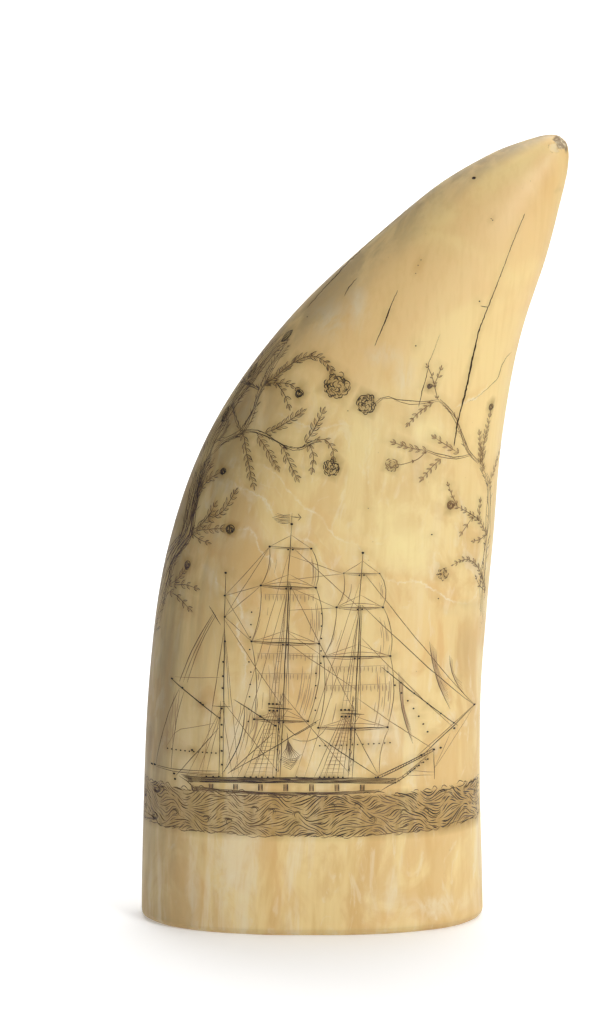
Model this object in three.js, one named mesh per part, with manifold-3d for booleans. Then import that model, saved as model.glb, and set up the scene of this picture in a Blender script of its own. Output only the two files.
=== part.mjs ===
import * as THREE from 'three';
import { mergeVertices } from 'three/addons/utils/BufferGeometryUtils.js';
import Module from 'manifold-3d';

// A scrimshaw whale tooth. It stands on its sawn root, its tip leans to +X, and its engraved
// face looks along -Y. All lengths are millimetres.
const toothHeight = 165;
const tipReach = 52; // from the middle of the base to the tip
const baseWidth = 72.4;
const baseDepth = 47;
const baseEdgeRadius = 1.5;
const tipClosing = 0.89; // share of the way up where the blunt end starts to close
const rootRoundness = 2.3; // a section's power: fuller than an oval at the root
const tipRoundness = 2;

// The pulp cavity, open at the sawn base.
const cavityWidth = 40;
const cavityBreadth = 24;
const cavityHeight = 46;
const cavityOverrun = 1; // how far its cutter starts below the base

// What has broken off the tip: flat faces, and a flake that leaves the mark of a ball. Each is
// at its reach from a point inside.
const tipCore = 0.95; // share of the way up
const tipFlats = [
  { facing: [0.55, -0.5, 0.67], reach: 10.4 },
  { facing: [0.85, -0.4, 0.35], reach: 10.2 },
];
const tipFlake = { facing: [0.56, -0.39, 0.73], reach: 11.55, radius: 2 };

// Engraved lines and age cracks.
const lineWidth = 0.6;
const lineDepth = 0.3;
const crackWidth = 0.6;
const crackDepth = 0.45;
const cutStepOver = 3.8; // longest straight stretch of a cut across the face
const cutStepUp = 9; // and along it, where the face bends less
const cutLift = 0.4; // how far a cutter stands off the surface
const nudge = 1e-3; // a small step along or across, for slopes

// The ship, as seen from the front.
const deckHeight = 33.2;
const hullHeight = 3.3;
const sternPlace = -27.5;
const bowPlace = 19.5;
const sheerRise = 0.5; // how far the deck and keel lines curve
const counterReach = 1.4; // how far the stern and the bow hang over, in hull heights
const forefootReach = 1.7;
const bowspritHeel = 5; // behind the bow
const bowspritLength = 23;
const bowspritSteeve = 33; // degrees
const sailBelly = 0.9; // how far the sides of a sail bow out
const masts = [
  { foot: -19.1, rake: 1.2, height: 43, yards: [] },
  { foot: -7.1, rake: 2.8, height: 53.5, yards: [[12.4, 5.6], [28.7, 7.0], [40.4, 5.7], [48.5, 4.3]] },
  { foot: 7.9, rake: 2.6, height: 47.6, yards: [[10.8, 7.2], [25.8, 6.9], [36.1, 4.8], [43.2, 3.7]] },
]; // a yard is [height over the deck, half length]
const spankerGaff = [[-0.6, 12.4], [-10.2, 19.3]];
const spankerBoom = [[-1, 1.4], [-13.6, 0.4]]; // places from the foot of the mizzen mast

// The band of waves under the ship, as shares of the way up the spine and across the face.
const seaFoot = 0.118;
const seaTop = 0.166;
const seaEnds = [-0.95, 0.93];
const seaLines = 3;
const waveLength = 16;
const waveHeight = 0.9;
const waveShift = 0.35; // turns from one line to the next

// Leaves and roses.
const leafLength = 3.2;
const leafAngle = 55; // degrees from its twig
const roseTurns = 1.75;
const roseEye = 0.3; // share of its radius where the spiral starts

const radians = THREE.MathUtils.degToRad;
const lerp = THREE.MathUtils.lerp;

// The spine is a curve in the XZ plane. Width and depth along it are shares of the base's own.
const spine = new THREE.CubicBezierCurve(
  new THREE.Vector2(0, 0),
  new THREE.Vector2(0, 0.39 * toothHeight),
  new THREE.Vector2(-0.057 * tipReach, 0.61 * toothHeight),
  new THREE.Vector2(1.002 * tipReach, toothHeight),
);
const profile = (shares) => new THREE.SplineCurve(shares.map((share, i) => new THREE.Vector2(i, share)));
const widthProfile = profile([1, 0.981, 0.964, 0.941, 0.865, 0.693, 0.455, 0.241]);
const depthProfile = profile([1, 0.985, 0.97, 0.95, 0.885, 0.745, 0.535, 0.31]);

function sectionAt(along) {
  const closing = THREE.MathUtils.clamp((along - tipClosing) / (1 - tipClosing), 0, 1);
  const cap = Math.sqrt(1 - closing * closing);
  return {
    centre: spine.getPoint(along),
    tangent: spine.getTangent(along),
    halfWidth: widthProfile.getPoint(along).y * cap * baseWidth / 2,
    halfDepth: depthProfile.getPoint(along).y * cap * baseDepth / 2,
    roundness: lerp(rootRoundness, tipRoundness, along),
  };
}

// Millimetres of spine for each whole share of the way up, at one share.
function spineSpeed(along) {
  return spine.getPoint(along + nudge).distanceTo(spine.getPoint(along - nudge)) / (2 * nudge);
}

// A point of a section, with across and deep as shares of its half width and half depth.
function sectionPoint({ centre, tangent, halfWidth, halfDepth }, across, deep) {
  const offset = across * halfWidth;
  return new THREE.Vector3(centre.x + tangent.y * offset, deep * halfDepth, centre.y - tangent.x * offset);
}

// The engraved face at a share of the way up and across.
function facePoint(along, across) {
  const section = sectionAt(along);
  const reach = Math.min(Math.abs(across), 1);
  return sectionPoint(section, across, -((1 - reach ** section.roundness) ** (1 / section.roundness)));
}

// The share along and across whose face point is seen from the front at x and z.
function placeOnFace(x, z) {
  let along = z / toothHeight;
  for (let i = 0; i < 12; i++) {
    const { centre, tangent } = sectionAt(along);
    along += ((x - centre.x) * tangent.x + (z - centre.y) * tangent.y) / spineSpeed(along);
  }
  const { centre, tangent, halfWidth } = sectionAt(along);
  return [along, ((x - centre.x) * tangent.y - (z - centre.y) * tangent.x) / halfWidth];
}

// A closed solid from rings of equal length, each a loop of points, with flat or pointed ends.
function loft(rings) {
  const count = rings[0].length;
  const points = rings.flat();
  const index = [];
  for (let r = 0; r + 1 < rings.length; r++) {
    for (let i = 0; i < count; i++) {
      const [a, b] = [r * count + i, r * count + (i + 1) % count];
      index.push(a, b, b + count, a, b + count, a + count);
    }
  }
  const ends = [[0, rings[0], 1], [(rings.length - 1) * count, rings.at(-1), -1]];
  for (const [start, ring, side] of ends) {
    const middle = points.length;
    points.push(ring.reduce((sum, p) => sum.add(p), new THREE.Vector3()).divideScalar(count));
    for (let i = 0; i < count; i++) {
      const [a, b] = [start + i, start + (i + 1) % count];
      index.push(...(side > 0 ? [middle, b, a] : [middle, a, b]));
    }
  }
  const geometry = new THREE.BufferGeometry().setFromPoints(points);
  geometry.setIndex(index);
  return geometry;
}

const aroundSteps = 40;
const alongSteps = 20;
const tipSteps = 6;
const edgeSteps = 3;

function ringAt(along, inset = 0, lift = 0) {
  const section = sectionAt(along);
  section.halfWidth -= inset;
  section.halfDepth -= inset;
  const power = 2 / section.roundness;
  return Array.from({ length: aroundSteps }, (_, i) => {
    const turn = 2 * Math.PI * i / aroundSteps;
    const across = Math.sign(Math.cos(turn)) * Math.abs(Math.cos(turn)) ** power;
    const deep = Math.sign(Math.sin(turn)) * Math.abs(Math.sin(turn)) ** power;
    const point = sectionPoint(section, across, deep);
    point.z += lift;
    return point;
  });
}

function toothBlank() {
  const rings = [];
  for (let i = 0; i < edgeSteps; i++) {
    const turn = Math.PI / 2 * i / edgeSteps;
    rings.push(ringAt(0, baseEdgeRadius * (1 - Math.sin(turn)), baseEdgeRadius * (1 - Math.cos(turn))));
  }
  const start = 2 * baseEdgeRadius / toothHeight;
  for (let i = 0; i <= alongSteps; i++) rings.push(ringAt(lerp(start, tipClosing, i / alongSteps)));
  for (let i = 1; i < tipSteps; i++) {
    const turn = Math.PI / 2 * i / tipSteps;
    rings.push(ringAt(lerp(tipClosing, 1, Math.sin(turn))));
  }
  return loft(rings);
}

function pulpCavity() {
  const steps = 7;
  const outline = [0, cavityWidth / 2].map((radius) => new THREE.Vector2(radius, -cavityOverrun));
  for (let i = 0; i <= steps; i++) {
    const share = Math.sin(Math.PI / 2 * i / steps);
    const radius = cavityWidth / 2 * (1 - share ** 1.5) ** 0.8;
    outline.push(new THREE.Vector2(i < steps ? radius : 0, share * cavityHeight));
  }
  const segments = 24;
  const geometry = new THREE.LatheGeometry(outline, segments);
  geometry.rotateX(Math.PI / 2);
  return geometry.scale(1, cavityBreadth / cavityWidth, 1);
}

// A V-shaped cutter that follows the face along a path of [along, across] shares.
function faceCut(path, width, depth) {
  const places = [path[0]];
  for (let i = 1; i < path.length; i++) {
    const reach = facePoint(...path[i]).sub(facePoint(...path[i - 1]));
    const over = Math.hypot(reach.x, reach.y) / cutStepOver;
    const steps = Math.ceil(Math.max(over, Math.abs(reach.z) / cutStepUp));
    for (let k = 1; k <= steps; k++) {
      places.push([0, 1].map((c) => lerp(path[i - 1][c], path[i][c], k / steps)));
    }
  }
  const points = places.map((place) => facePoint(...place));
  const rings = points.map((point, i) => {
    const ahead = points[Math.min(i + 1, points.length - 1)];
    const direction = ahead.clone().sub(points[Math.max(i - 1, 0)]).normalize();
    const [along, across] = places[i];
    const up = facePoint(along + nudge, across).sub(facePoint(along - nudge, across));
    const over = facePoint(along, across + nudge).sub(facePoint(along, across - nudge));
    const normal = over.cross(up).normalize();
    const side = direction.clone().cross(normal).normalize();
    const flare = width / 2 * (depth + cutLift) / depth;
    return [
      point.clone().addScaledVector(normal, -depth),
      point.clone().addScaledVector(normal, cutLift).addScaledVector(side, -flare),
      point.clone().addScaledVector(normal, cutLift).addScaledVector(side, flare),
    ];
  });
  return loft(rings);
}

const engraved = (path) => faceCut(path, lineWidth, lineDepth);
const cracked = (path) => faceCut(path, crackWidth, crackDepth);
const curveThrough = (places, steps) =>
  new THREE.SplineCurve(places.map((place) => new THREE.Vector2(...place)))
    .getPoints(steps).map((place) => place.toArray());

// Strokes given as seen from the front, in millimetres, laid on the face.
const seen = (points) => engraved(points.map(([x, z]) => placeOnFace(x, z)));
const seenCurve = (points, steps) => seen(curveThrough(points, steps));

function hullLines() {
  const middle = (sternPlace + bowPlace) / 2;
  const stern = [sternPlace, deckHeight];
  const bow = [bowPlace, deckHeight + sheerRise];
  const keel = deckHeight - hullHeight;
  const counter = [sternPlace + counterReach * hullHeight, keel];
  const forefoot = [bowPlace - forefootReach * hullHeight, keel];
  return [
    seenCurve([stern, [middle, deckHeight - sheerRise], bow], 6),
    seen([counter, [middle, keel - sheerRise / 2], forefoot]),
    seen([stern, [sternPlace + hullHeight / 2, deckHeight - hullHeight / 2], counter]),
    seenCurve([forefoot, [bowPlace - hullHeight, deckHeight - hullHeight / 2], bow], 4),
  ];
}

function bowspritLine() {
  const foot = [bowPlace - bowspritHeel, deckHeight];
  const turn = radians(bowspritSteeve);
  const end = [foot[0] + bowspritLength * Math.cos(turn), foot[1] + bowspritLength * Math.sin(turn)];
  return seen([foot, end]);
}

// One mast with its yards and the curved sides of the square sails between them.
function mastLines({ foot, rake, height, yards }) {
  const at = (up, aside = 0) => [foot + rake * up / height + aside, deckHeight + up];
  const strokes = [seen([at(0), at(height)])];
  for (const [up, half] of yards) strokes.push(seen([at(up, -half), at(up, half)]));
  for (let i = 1; i < yards.length; i++) {
    const [[low, lowHalf], [high, highHalf]] = [yards[i - 1], yards[i]];
    for (const side of [-1, 1]) {
      const middle = at((low + high) / 2, side * (lowHalf + highHalf) / 2 - sailBelly);
      strokes.push(seenCurve([at(low, side * lowHalf), middle, at(high, side * highHalf)], 3));
    }
  }
  return strokes;
}

// The fore-and-aft sail on the mizzen mast, with its gaff and boom.
function spankerLines() {
  const foot = masts[0].foot;
  const place = ([aside, up]) => [foot + aside, deckHeight + up];
  const peak = place(spankerGaff[1]);
  const clew = place(spankerBoom[1]);
  return [
    seen(spankerGaff.map(place)),
    seen(spankerBoom.map(place)),
    seenCurve([peak, [(peak[0] + clew[0]) / 2 + sailBelly, (peak[1] + clew[1]) / 2], clew], 4),
  ];
}

function seaBand() {
  const strokes = [];
  const stretch = 1.4; // the band is longer than its width seen from the front
  const steps = Math.round(stretch * baseWidth / cutStepOver);
  for (let line = 0; line < seaLines; line++) {
    const share = line / (seaLines - 1);
    const path = Array.from({ length: steps + 1 }, (_, i) => {
      const across = lerp(seaEnds[0], seaEnds[1], i / steps);
      const phase = across * baseWidth / 2 / waveLength + waveShift * line;
      const swell = waveHeight / toothHeight * Math.sin(2 * Math.PI * phase);
      return [lerp(seaFoot, seaTop, share) + swell, across];
    });
    strokes.push(engraved(path));
  }
  return strokes;
}

// A place moved over the face by millimetres.
function moved([along, across], overBy, upBy) {
  return [along + upBy / spineSpeed(along), across + overBy / sectionAt(along).halfWidth];
}

function rose(centre, radius) {
  const steps = 13;
  return engraved(Array.from({ length: steps + 1 }, (_, i) => {
    const turn = 2 * Math.PI * roseTurns * i / steps;
    const reach = radius * lerp(roseEye, 1, i / steps);
    return moved(centre, reach * Math.cos(turn), reach * Math.sin(turn));
  }));
}

// Leaves along a twig: short slanted strokes on alternate sides.
function leaves(places, count) {
  const twig = new THREE.SplineCurve(places.map((place) => new THREE.Vector2(...place)));
  return Array.from({ length: count }, (_, i) => {
    const place = twig.getPoint((i + 0.5) / count).toArray();
    const ahead = twig.getPoint((i + 0.6) / count).toArray();
    const here = facePoint(...place);
    const there = facePoint(...ahead);
    const turn = Math.atan2(there.z - here.z, there.x - here.x) + (i % 2 ? 1 : -1) * radians(leafAngle);
    return engraved([place, moved(place, leafLength * Math.cos(turn), leafLength * Math.sin(turn))]);
  });
}

// Each spray is a list of twigs, given as [along, across] shares from foot to end, and its roses.
const sprays = [
  {
    twigs: [
      {
        places: [
          [0.345, -0.95], [0.429, -0.93], [0.514, -0.92], [0.593, -0.83], [0.643, -0.88], [0.694, -0.92],
        ],
        leaves: 9,
      },
      { places: [[0.643, -0.88], [0.684, -0.83], [0.703, -0.64], [0.694, -0.5]], leaves: 4 },
      { places: [[0.593, -0.83], [0.596, -0.56], [0.605, -0.4], [0.595, -0.28]], leaves: 4 },
    ],
    roses: [{ place: [0.68, -0.43], radius: 2.9 }, { place: [0.591, -0.2], radius: 1.9 }],
  },
  {
    twigs: [
      {
        places: [[0.414, 0.92], [0.492, 0.93], [0.564, 0.93], [0.639, 0.85], [0.693, 0.6], [0.719, 0.38]],
        leaves: 7,
      },
      { places: [[0.719, 0.38], [0.714, 0.18], [0.693, 0], [0.683, -0.12]], leaves: 4 },
      { places: [[0.662, 0.8], [0.64, 0.52], [0.63, 0.3]], leaves: 4 },
    ],
    roses: [{ place: [0.678, -0.16], radius: 2.2 }, { place: [0.487, 0.68], radius: 1.4 }],
  },
];

function sprayLines({ twigs, roses }) {
  return [
    ...twigs.map(({ places }) => engraved(curveThrough(places, 3 * places.length))),
    ...twigs.flatMap((twig) => leaves(twig.places, twig.leaves)),
    ...roses.map(({ place, radius }) => rose(place, radius)),
  ];
}

// Age cracks run down from the tip and wander a little from side to side.
const cracks = [
  { from: [0.931, 0.3], to: [0.674, 0.6], wander: 0.03, bends: 9 },
  { from: [0.856, -0.93], to: [0.734, -0.92], wander: 0.01, bends: 6 },
  { from: [0.801, -0.47], to: [0.739, -0.33], wander: 0.01, bends: 3 },
  { from: [0.803, 0.87], to: [0.732, 0.62], wander: 0.04, bends: 5 },
  { from: [0.783, 0.12], to: [0.701, 0.23], wander: 0.02, bends: 4 },
];

function crackLine({ from, to, wander, bends }) {
  return cracked(Array.from({ length: bends + 1 }, (_, i) => {
    const share = i / bends;
    const sway = wander * Math.sin(2.4 * i) * Math.sin(Math.PI * share);
    return [lerp(from[0], to[0], share), lerp(from[1], to[1], share) + sway];
  }));
}

// What is cut from the tip.
function tipCuts() {
  const core = spine.getPoint(tipCore);
  const block = 40; // a cutter larger than the tip
  const flats = tipFlats.map(({ facing, reach }) => {
    const cutter = new THREE.BoxGeometry(block, block, block);
    cutter.translate(0, 0, block / 2 + reach);
    const up = new THREE.Vector3(0, 0, 1);
    const direction = new THREE.Vector3(...facing).normalize();
    cutter.applyQuaternion(new THREE.Quaternion().setFromUnitVectors(up, direction));
    return cutter.translate(core.x, 0, core.y);
  });
  const flake = new THREE.SphereGeometry(tipFlake.radius, 12, 8);
  const away = new THREE.Vector3(...tipFlake.facing).normalize().multiplyScalar(tipFlake.reach);
  flake.translate(core.x + away.x, away.y, core.y + away.z);
  return [...flats, flake];
}

const wasm = await Module();
wasm.setup();

function solid(geometry) {
  const plain = geometry.clone();
  plain.deleteAttribute('normal');
  plain.deleteAttribute('uv');
  const merged = mergeVertices(plain);
  return new wasm.Manifold(new wasm.Mesh({
    numProp: 3,
    vertProperties: new Float32Array(merged.attributes.position.array),
    triVerts: new Uint32Array(merged.index.array),
  }));
}

const cuts = [
  pulpCavity(),
  ...tipCuts(),
  ...hullLines(),
  bowspritLine(),
  ...masts.flatMap(mastLines),
  ...spankerLines(),
  ...seaBand(),
  ...sprays.flatMap(sprayLines),
  ...cracks.map(crackLine),
];
const smallestEdge = 0.004;
const blank = solid(toothBlank());
const carved = cuts.reduce((left, cut) => left.subtract(solid(cut)), blank).simplify(smallestEdge);

const mesh = carved.getMesh();
const geometry = new THREE.BufferGeometry();
geometry.setAttribute('position', new THREE.BufferAttribute(mesh.vertProperties, 3));
geometry.setIndex(new THREE.BufferAttribute(mesh.triVerts, 1));
geometry.computeBoundingBox();
const middle = geometry.boundingBox.getCenter(new THREE.Vector3());

const ivory = new THREE.MeshStandardMaterial({ color: 0xe6cfa4, roughness: 0.38, metalness: 0 });
const tooth = new THREE.Mesh(geometry, ivory);
tooth.name = 'tooth';

// The origin is under the middle of the tooth's outer box, on the surface it stands on.
const group = new THREE.Group();
group.position.set(-middle.x, -middle.y, -geometry.boundingBox.min.z);
group.add(tooth);

export default group;
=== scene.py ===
import math
import bpy
import numpy as np
from mathutils.geometry import delaunay_2d_cdt
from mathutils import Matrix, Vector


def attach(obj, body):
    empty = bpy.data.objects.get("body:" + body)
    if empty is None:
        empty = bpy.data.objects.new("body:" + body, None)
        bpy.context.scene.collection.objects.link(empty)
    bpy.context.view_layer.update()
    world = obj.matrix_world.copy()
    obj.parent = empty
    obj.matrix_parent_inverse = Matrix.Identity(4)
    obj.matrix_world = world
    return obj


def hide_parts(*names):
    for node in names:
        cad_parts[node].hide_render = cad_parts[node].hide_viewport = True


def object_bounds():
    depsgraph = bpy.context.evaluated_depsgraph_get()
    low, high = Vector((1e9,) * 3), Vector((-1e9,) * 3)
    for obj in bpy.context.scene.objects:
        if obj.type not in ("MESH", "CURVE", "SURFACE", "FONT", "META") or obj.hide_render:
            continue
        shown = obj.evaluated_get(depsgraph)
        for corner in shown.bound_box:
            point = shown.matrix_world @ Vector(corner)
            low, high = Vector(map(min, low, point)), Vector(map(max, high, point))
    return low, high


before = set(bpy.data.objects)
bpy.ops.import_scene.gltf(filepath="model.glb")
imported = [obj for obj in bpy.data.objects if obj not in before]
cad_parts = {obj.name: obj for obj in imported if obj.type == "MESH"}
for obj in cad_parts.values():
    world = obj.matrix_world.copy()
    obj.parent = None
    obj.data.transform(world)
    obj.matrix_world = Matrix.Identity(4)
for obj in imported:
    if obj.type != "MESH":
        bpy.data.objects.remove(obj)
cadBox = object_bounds()
rng = np.random.default_rng(11)
mm = 0.001

# The tooth's form in millimetres, with shares of its own width, depth and height.
tooth = {
    "height": 165.0, "tipReach": 52.0, "baseWidth": 72.4, "baseDepth": 47.0, "edgeRadius": 1.5,
    "tipClosing": 0.89, "rootRoundness": 2.3, "tipRoundness": 2.0,
    "spineReach": (0, 0, -0.057, 1.002), "spineRise": (0, 0.39, 0.61, 1),
    "widthShares": (1, 0.981, 0.964, 0.941, 0.865, 0.693, 0.455, 0.241),
    "depthShares": (1, 0.985, 0.97, 0.95, 0.885, 0.745, 0.535, 0.31),
    "cavityWidth": 40.0, "cavityBreadth": 24.0, "cavityHeight": 46.0, "tipCore": 0.95,
    "tipFlats": (((0.55, -0.5, 0.67), 10.4), ((0.85, -0.4, 0.35), 10.2)),
    "flakeFacing": (0.56, -0.39, 0.73), "flakeReach": 11.55, "flakeRadius": 2.0,
    "chipRough": 0.2, "flakeUneven": 1.3,  # how uneven the broken faces and the flake's edge are
    # the spine's end is moved over and down
    "tipSettle": (0.0, -0.55), "settleStart": 0.95, "settleRun": 0.036,
    "fluteDepth": 0.14,  # how far the root's shallow flutes sink
}
# the drawing's chart: its millimetres for a radian of turn and for the whole spine
chart = {"turn": 28.0, "along": 178.0, "tipStart": 0.955}


# A curve through evenly spaced values, with Catmull and Rom's slopes.
def smoothTable(values, share):
    y = np.asarray(values, float)
    last = len(y) - 1
    place = np.clip(share, 0, 1) * last
    i = np.minimum(place.astype(int), last - 1)
    w = place - i
    before, here = y[np.maximum(i - 1, 0)], y[i]
    after, beyond = y[i + 1], y[np.minimum(i + 2, last)]
    slopeHere, slopeAfter = (after - before) / 2, (beyond - here) / 2
    cubic = (2 * here - 2 * after + slopeHere + slopeAfter) * w**3
    return cubic + (3 * after - 3 * here - 2 * slopeHere - slopeAfter) * w**2 + slopeHere * w + here


# A cubic curve with four handles at share t of its run, and its slope there.
def bezier(c, t):
    return c[0] * (1 - t)**3 + 3 * c[1] * t * (1 - t)**2 + 3 * c[2] * t * t * (1 - t) + c[3] * t**3


def bezierSlope(c, t):
    return 3 * ((c[1] - c[0]) * (1 - t)**2 + 2 * (c[2] - c[1]) * t * (1 - t) + (c[3] - c[2]) * t * t)


# The section square to the spine at a share of the way up: its centre, the spine's direction there,
# its half width and half depth, and the power of its oval.
def sectionAt(along):
    along = np.asarray(along, float)
    reach = np.array(tooth["spineReach"]) * tooth["tipReach"]
    rise = np.array(tooth["spineRise"]) * tooth["height"]
    slopeX, slopeZ = bezierSlope(reach, along), bezierSlope(rise, along)
    speed = np.hypot(slopeX, slopeZ)
    closing = np.clip((along - tooth["tipClosing"]) / (1 - tooth["tipClosing"]), 0, 1)
    cap = np.sqrt(1 - closing**2)
    halfWidth = smoothTable(tooth["widthShares"], along) * cap * tooth["baseWidth"] / 2
    halfDepth = smoothTable(tooth["depthShares"], along) * cap * tooth["baseDepth"] / 2
    power = tooth["rootRoundness"] + (tooth["tipRoundness"] - tooth["rootRoundness"]) * along
    settle = np.clip((along - tooth["settleStart"]) / tooth["settleRun"], 0, 1)
    settle = settle * settle * (3 - 2 * settle)
    x = bezier(reach, along) + settle * tooth["tipSettle"][0]
    z = bezier(rise, along) + settle * tooth["tipSettle"][1]
    return x, z, slopeX / speed, slopeZ / speed, halfWidth, halfDepth, power


# Smooth noise: the mean of a few sines, each with its own random frequency, direction and phase.
def ripple(seed, count, low, high):
    r = np.random.default_rng(seed)
    return r.uniform(low, high, count), r.uniform(0, 2 * np.pi, count), r.uniform(0, np.pi, count)


def rippleAt(waves, x, y):
    out = np.zeros(np.broadcast(x, y).shape)
    for frequency, phase, heading in zip(*waves):
        out = out + np.sin(frequency * (x * np.cos(heading) + y * np.sin(heading)) + phase)
    return out / len(waves[0])


chipWaves = ripple(5, 9, 1.2, 4.5)


# Broken faces of the tip: what stands out past a flat is drawn in to it towards a point inside,
# and what lies in the flake's ball is pushed out to the ball. Also returns how deep each is cut.
def breakTip(p):
    cx, cz = sectionAt(tooth["tipCore"])[:2]
    core = np.array([cx + tooth["tipSettle"][0], 0, cz + tooth["tipSettle"][1]])
    rough = tooth["chipRough"] * rippleAt(chipWaves, p[..., 0], p[..., 1] + 0.7 * p[..., 2])
    cut = np.zeros(p.shape[:-1])
    for facing, reach in tooth["tipFlats"]:
        normal = np.array(facing) / np.linalg.norm(facing)
        height = (p - core) @ normal
        cut = np.maximum(cut, height - reach - rough)
        shrink = np.minimum(1, (reach + rough) / np.maximum(height, 1e-6))
        p = core + (p - core) * np.where(height > 0, shrink, 1)[..., None]
    facing = np.array(tooth["flakeFacing"])
    ball = core + facing / np.linalg.norm(facing) * tooth["flakeReach"]
    away = p - ball
    distance = np.linalg.norm(away, axis=-1)
    radius = tooth["flakeRadius"] * (1 + tooth["flakeUneven"] * rough)
    pushed = ball + away * (radius / np.maximum(distance, 1e-6))[..., None]
    flake = radius - distance
    return np.where((flake > 0)[..., None], pushed, p), cut, flake


# A place given as shares up and across, as the turn round the section and the share up.
def chartPlace(along, across):
    power = sectionAt(along)[6]
    across = np.clip(across, -0.999, 0.999)
    return np.arctan2(across, (1 - np.abs(across)**power)**(1 / power)), np.asarray(along, float)


# A point of the outer wall: the section's oval at that turn, 0 at the middle of the engraved face.
def outerWall(turn, along, inset=0.0):
    cx, cz, tx, tz, halfWidth, halfDepth, power = sectionAt(along)
    s, c = np.sin(turn), np.cos(turn)
    radius = (np.abs(s)**power + np.abs(c)**power)**(-1 / power)
    flutes = np.sin(11 * turn + 1) + np.sin(17 * turn + 2.4) + 0.7 * np.sin(29 * turn)
    sink = inset + tooth["fluteDepth"] * (1 + flutes / 2.7) * np.clip(1 - along / 0.5, 0, 1)**2
    across = (halfWidth - sink) * radius * s
    return np.stack([cx + tz * across, -(halfDepth - sink) * radius * c, cz - tx * across], -1)


# The outer wall with the tip's broken faces.
def wall(turn, along):
    return breakTip(outerWall(turn, along))[0]


# Slopes of the wall along both chart directions, in millimetres, and the outward normal.
def wallSlopes(turn, along):
    dTurn, dAlong = 1e-3, 2e-4
    over = (wall(turn + dTurn, along) - wall(turn - dTurn, along)) / (2 * dTurn)
    up = (wall(turn, along + dAlong) - wall(turn, along - dAlong)) / (2 * dAlong)
    normal = np.cross(over, up)
    return over, up, normal / np.maximum(np.linalg.norm(normal, axis=-1, keepdims=True), 1e-12)


# The place on the face that is seen from the front at x and z: steps along the spine until the
# point lies square to it, then the offset as a share of the half width.
def seenPlace(x, z):
    along = z / tooth["height"]
    rise = np.array(tooth["spineRise"]) * tooth["height"]
    reach = np.array(tooth["spineReach"]) * tooth["tipReach"]
    for _ in range(14):
        cx, cz, tx, tz = sectionAt(along)[:4]
        speed = np.hypot(bezierSlope(reach, along), bezierSlope(rise, along))
        along = np.clip(along + ((x - cx) * tx + (z - cz) * tz) / speed, 0.005, 0.99)
    cx, cz, tx, tz, halfWidth = sectionAt(along)[:5]
    return chartPlace(along, ((x - cx) * tz - (z - cz) * tx) / halfWidth)


strokes = []
inks = {
    "inkFaint": ((0.36, 0.235, 0.115), 0.55), "inkRust": ((0.2, 0.105, 0.045), 0.5),
    "inkBrown": ((0.125, 0.075, 0.036), 0.5), "inkPlum": ((0.075, 0.042, 0.04), 0.5),
    "inkDark": ((0.045, 0.027, 0.018), 0.45), "inkBlack": ((0.014, 0.009, 0.008), 0.4),
    "crackFill": ((0.03, 0.016, 0.009), 0.7),
}
inkNames = list(inks)
# how heavy the lines are, the depth up to which one lies flush, and how deep a peck is
hand = {"weight": 1.12, "flush": 0.075, "peckDepth": 0.16}


# Evenly spaced stations along a broken line.
def resample(points, gap):
    p = np.asarray(points, float)
    steps = np.hypot(*np.diff(p, axis=0).T)
    length = np.concatenate([[0], np.cumsum(steps)])
    count = max(2, int(math.ceil(length[-1] / gap)) + 1)
    at = np.linspace(0, length[-1], count)
    return np.stack([np.interp(at, length, p[:, k]) for k in range(2)], -1)


# A smooth curve through the points, with evenly spaced stations.
def curve(points, gap=1.2):
    p = np.asarray(points, float)
    share = np.linspace(0, 1, 12 * len(p))
    return resample(np.stack([smoothTable(p[:, 0], share), smoothTable(p[:, 1], share)], -1), gap)


# A stroke is kept as places in the chart with a half width at each, its depth and its ink.
# Its offsets are millimetres over and up from those places.
def addStroke(turn, along, half, depth, ink, offset=None):
    offset = np.zeros((len(turn), 2)) if offset is None else offset
    strokes.append({"turn": turn, "along": along, "offset": offset, "half": half, "depth": depth,
                    "ink": inkNames.index(ink)})


# One scratched line. Its points are millimetres as seen from the front, or millimetres over and up
# from an anchor on the wall. A slow sway and uneven pressure make it look drawn by hand.
def scratch(points, ink="inkDark", width=0.15, depth=0.09, anchor=None, gap=2.0, sway=0.05, taper=0.6):
    p = resample(points, gap)
    count = len(p)
    share = np.linspace(0, 1, count)
    length = np.hypot(*np.diff(p, axis=0).T).sum()
    direction = np.gradient(p, axis=0)
    direction /= np.maximum(np.hypot(*direction.T), 1e-9)[:, None]
    phase = rng.uniform(0, 2 * np.pi, 3)
    wave = np.sin(share * length / 2.1 + phase[0]) + 0.6 * np.sin(share * length / 0.9 + phase[1])
    swing = sway * wave * np.sin(np.pi * share)
    p = p + np.stack([-direction[:, 1], direction[:, 0]], -1) * swing[:, None]
    press = 1 - taper * (2 * np.abs(share - 0.5))**3 + 0.14 * np.sin(share * length * 1.3 + phase[2])
    half = width * hand["weight"] / 2 * press
    if anchor is None:
        addStroke(*seenPlace(p[:, 0], p[:, 1]), half, depth, ink)
    else:
        addStroke(*(np.full(count, float(v)) for v in anchor), half, depth, ink, p)


# A round peck, as a short line with a round outline.
def peck(x, z, radius=0.22, ink="inkBlack"):
    rim = np.array([-1, -0.55, 0.55, 1]) * radius
    half = np.array([0.3, 0.84, 0.84, 0.3]) * radius
    addStroke(*seenPlace(x + rim, np.full(4, float(z))), half, hand["peckDepth"], ink)


# The point at a share of the way from a to b.
def between(a, b, share):
    return np.asarray(a) + (np.asarray(b) - np.asarray(a)) * share


# A thin straight line of the rigging, or several that meet.
def rope(*points, ink="inkRust", width=0.1, gap=2.0):
    scratch(points, ink, width, 0.06, gap=gap)


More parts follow.
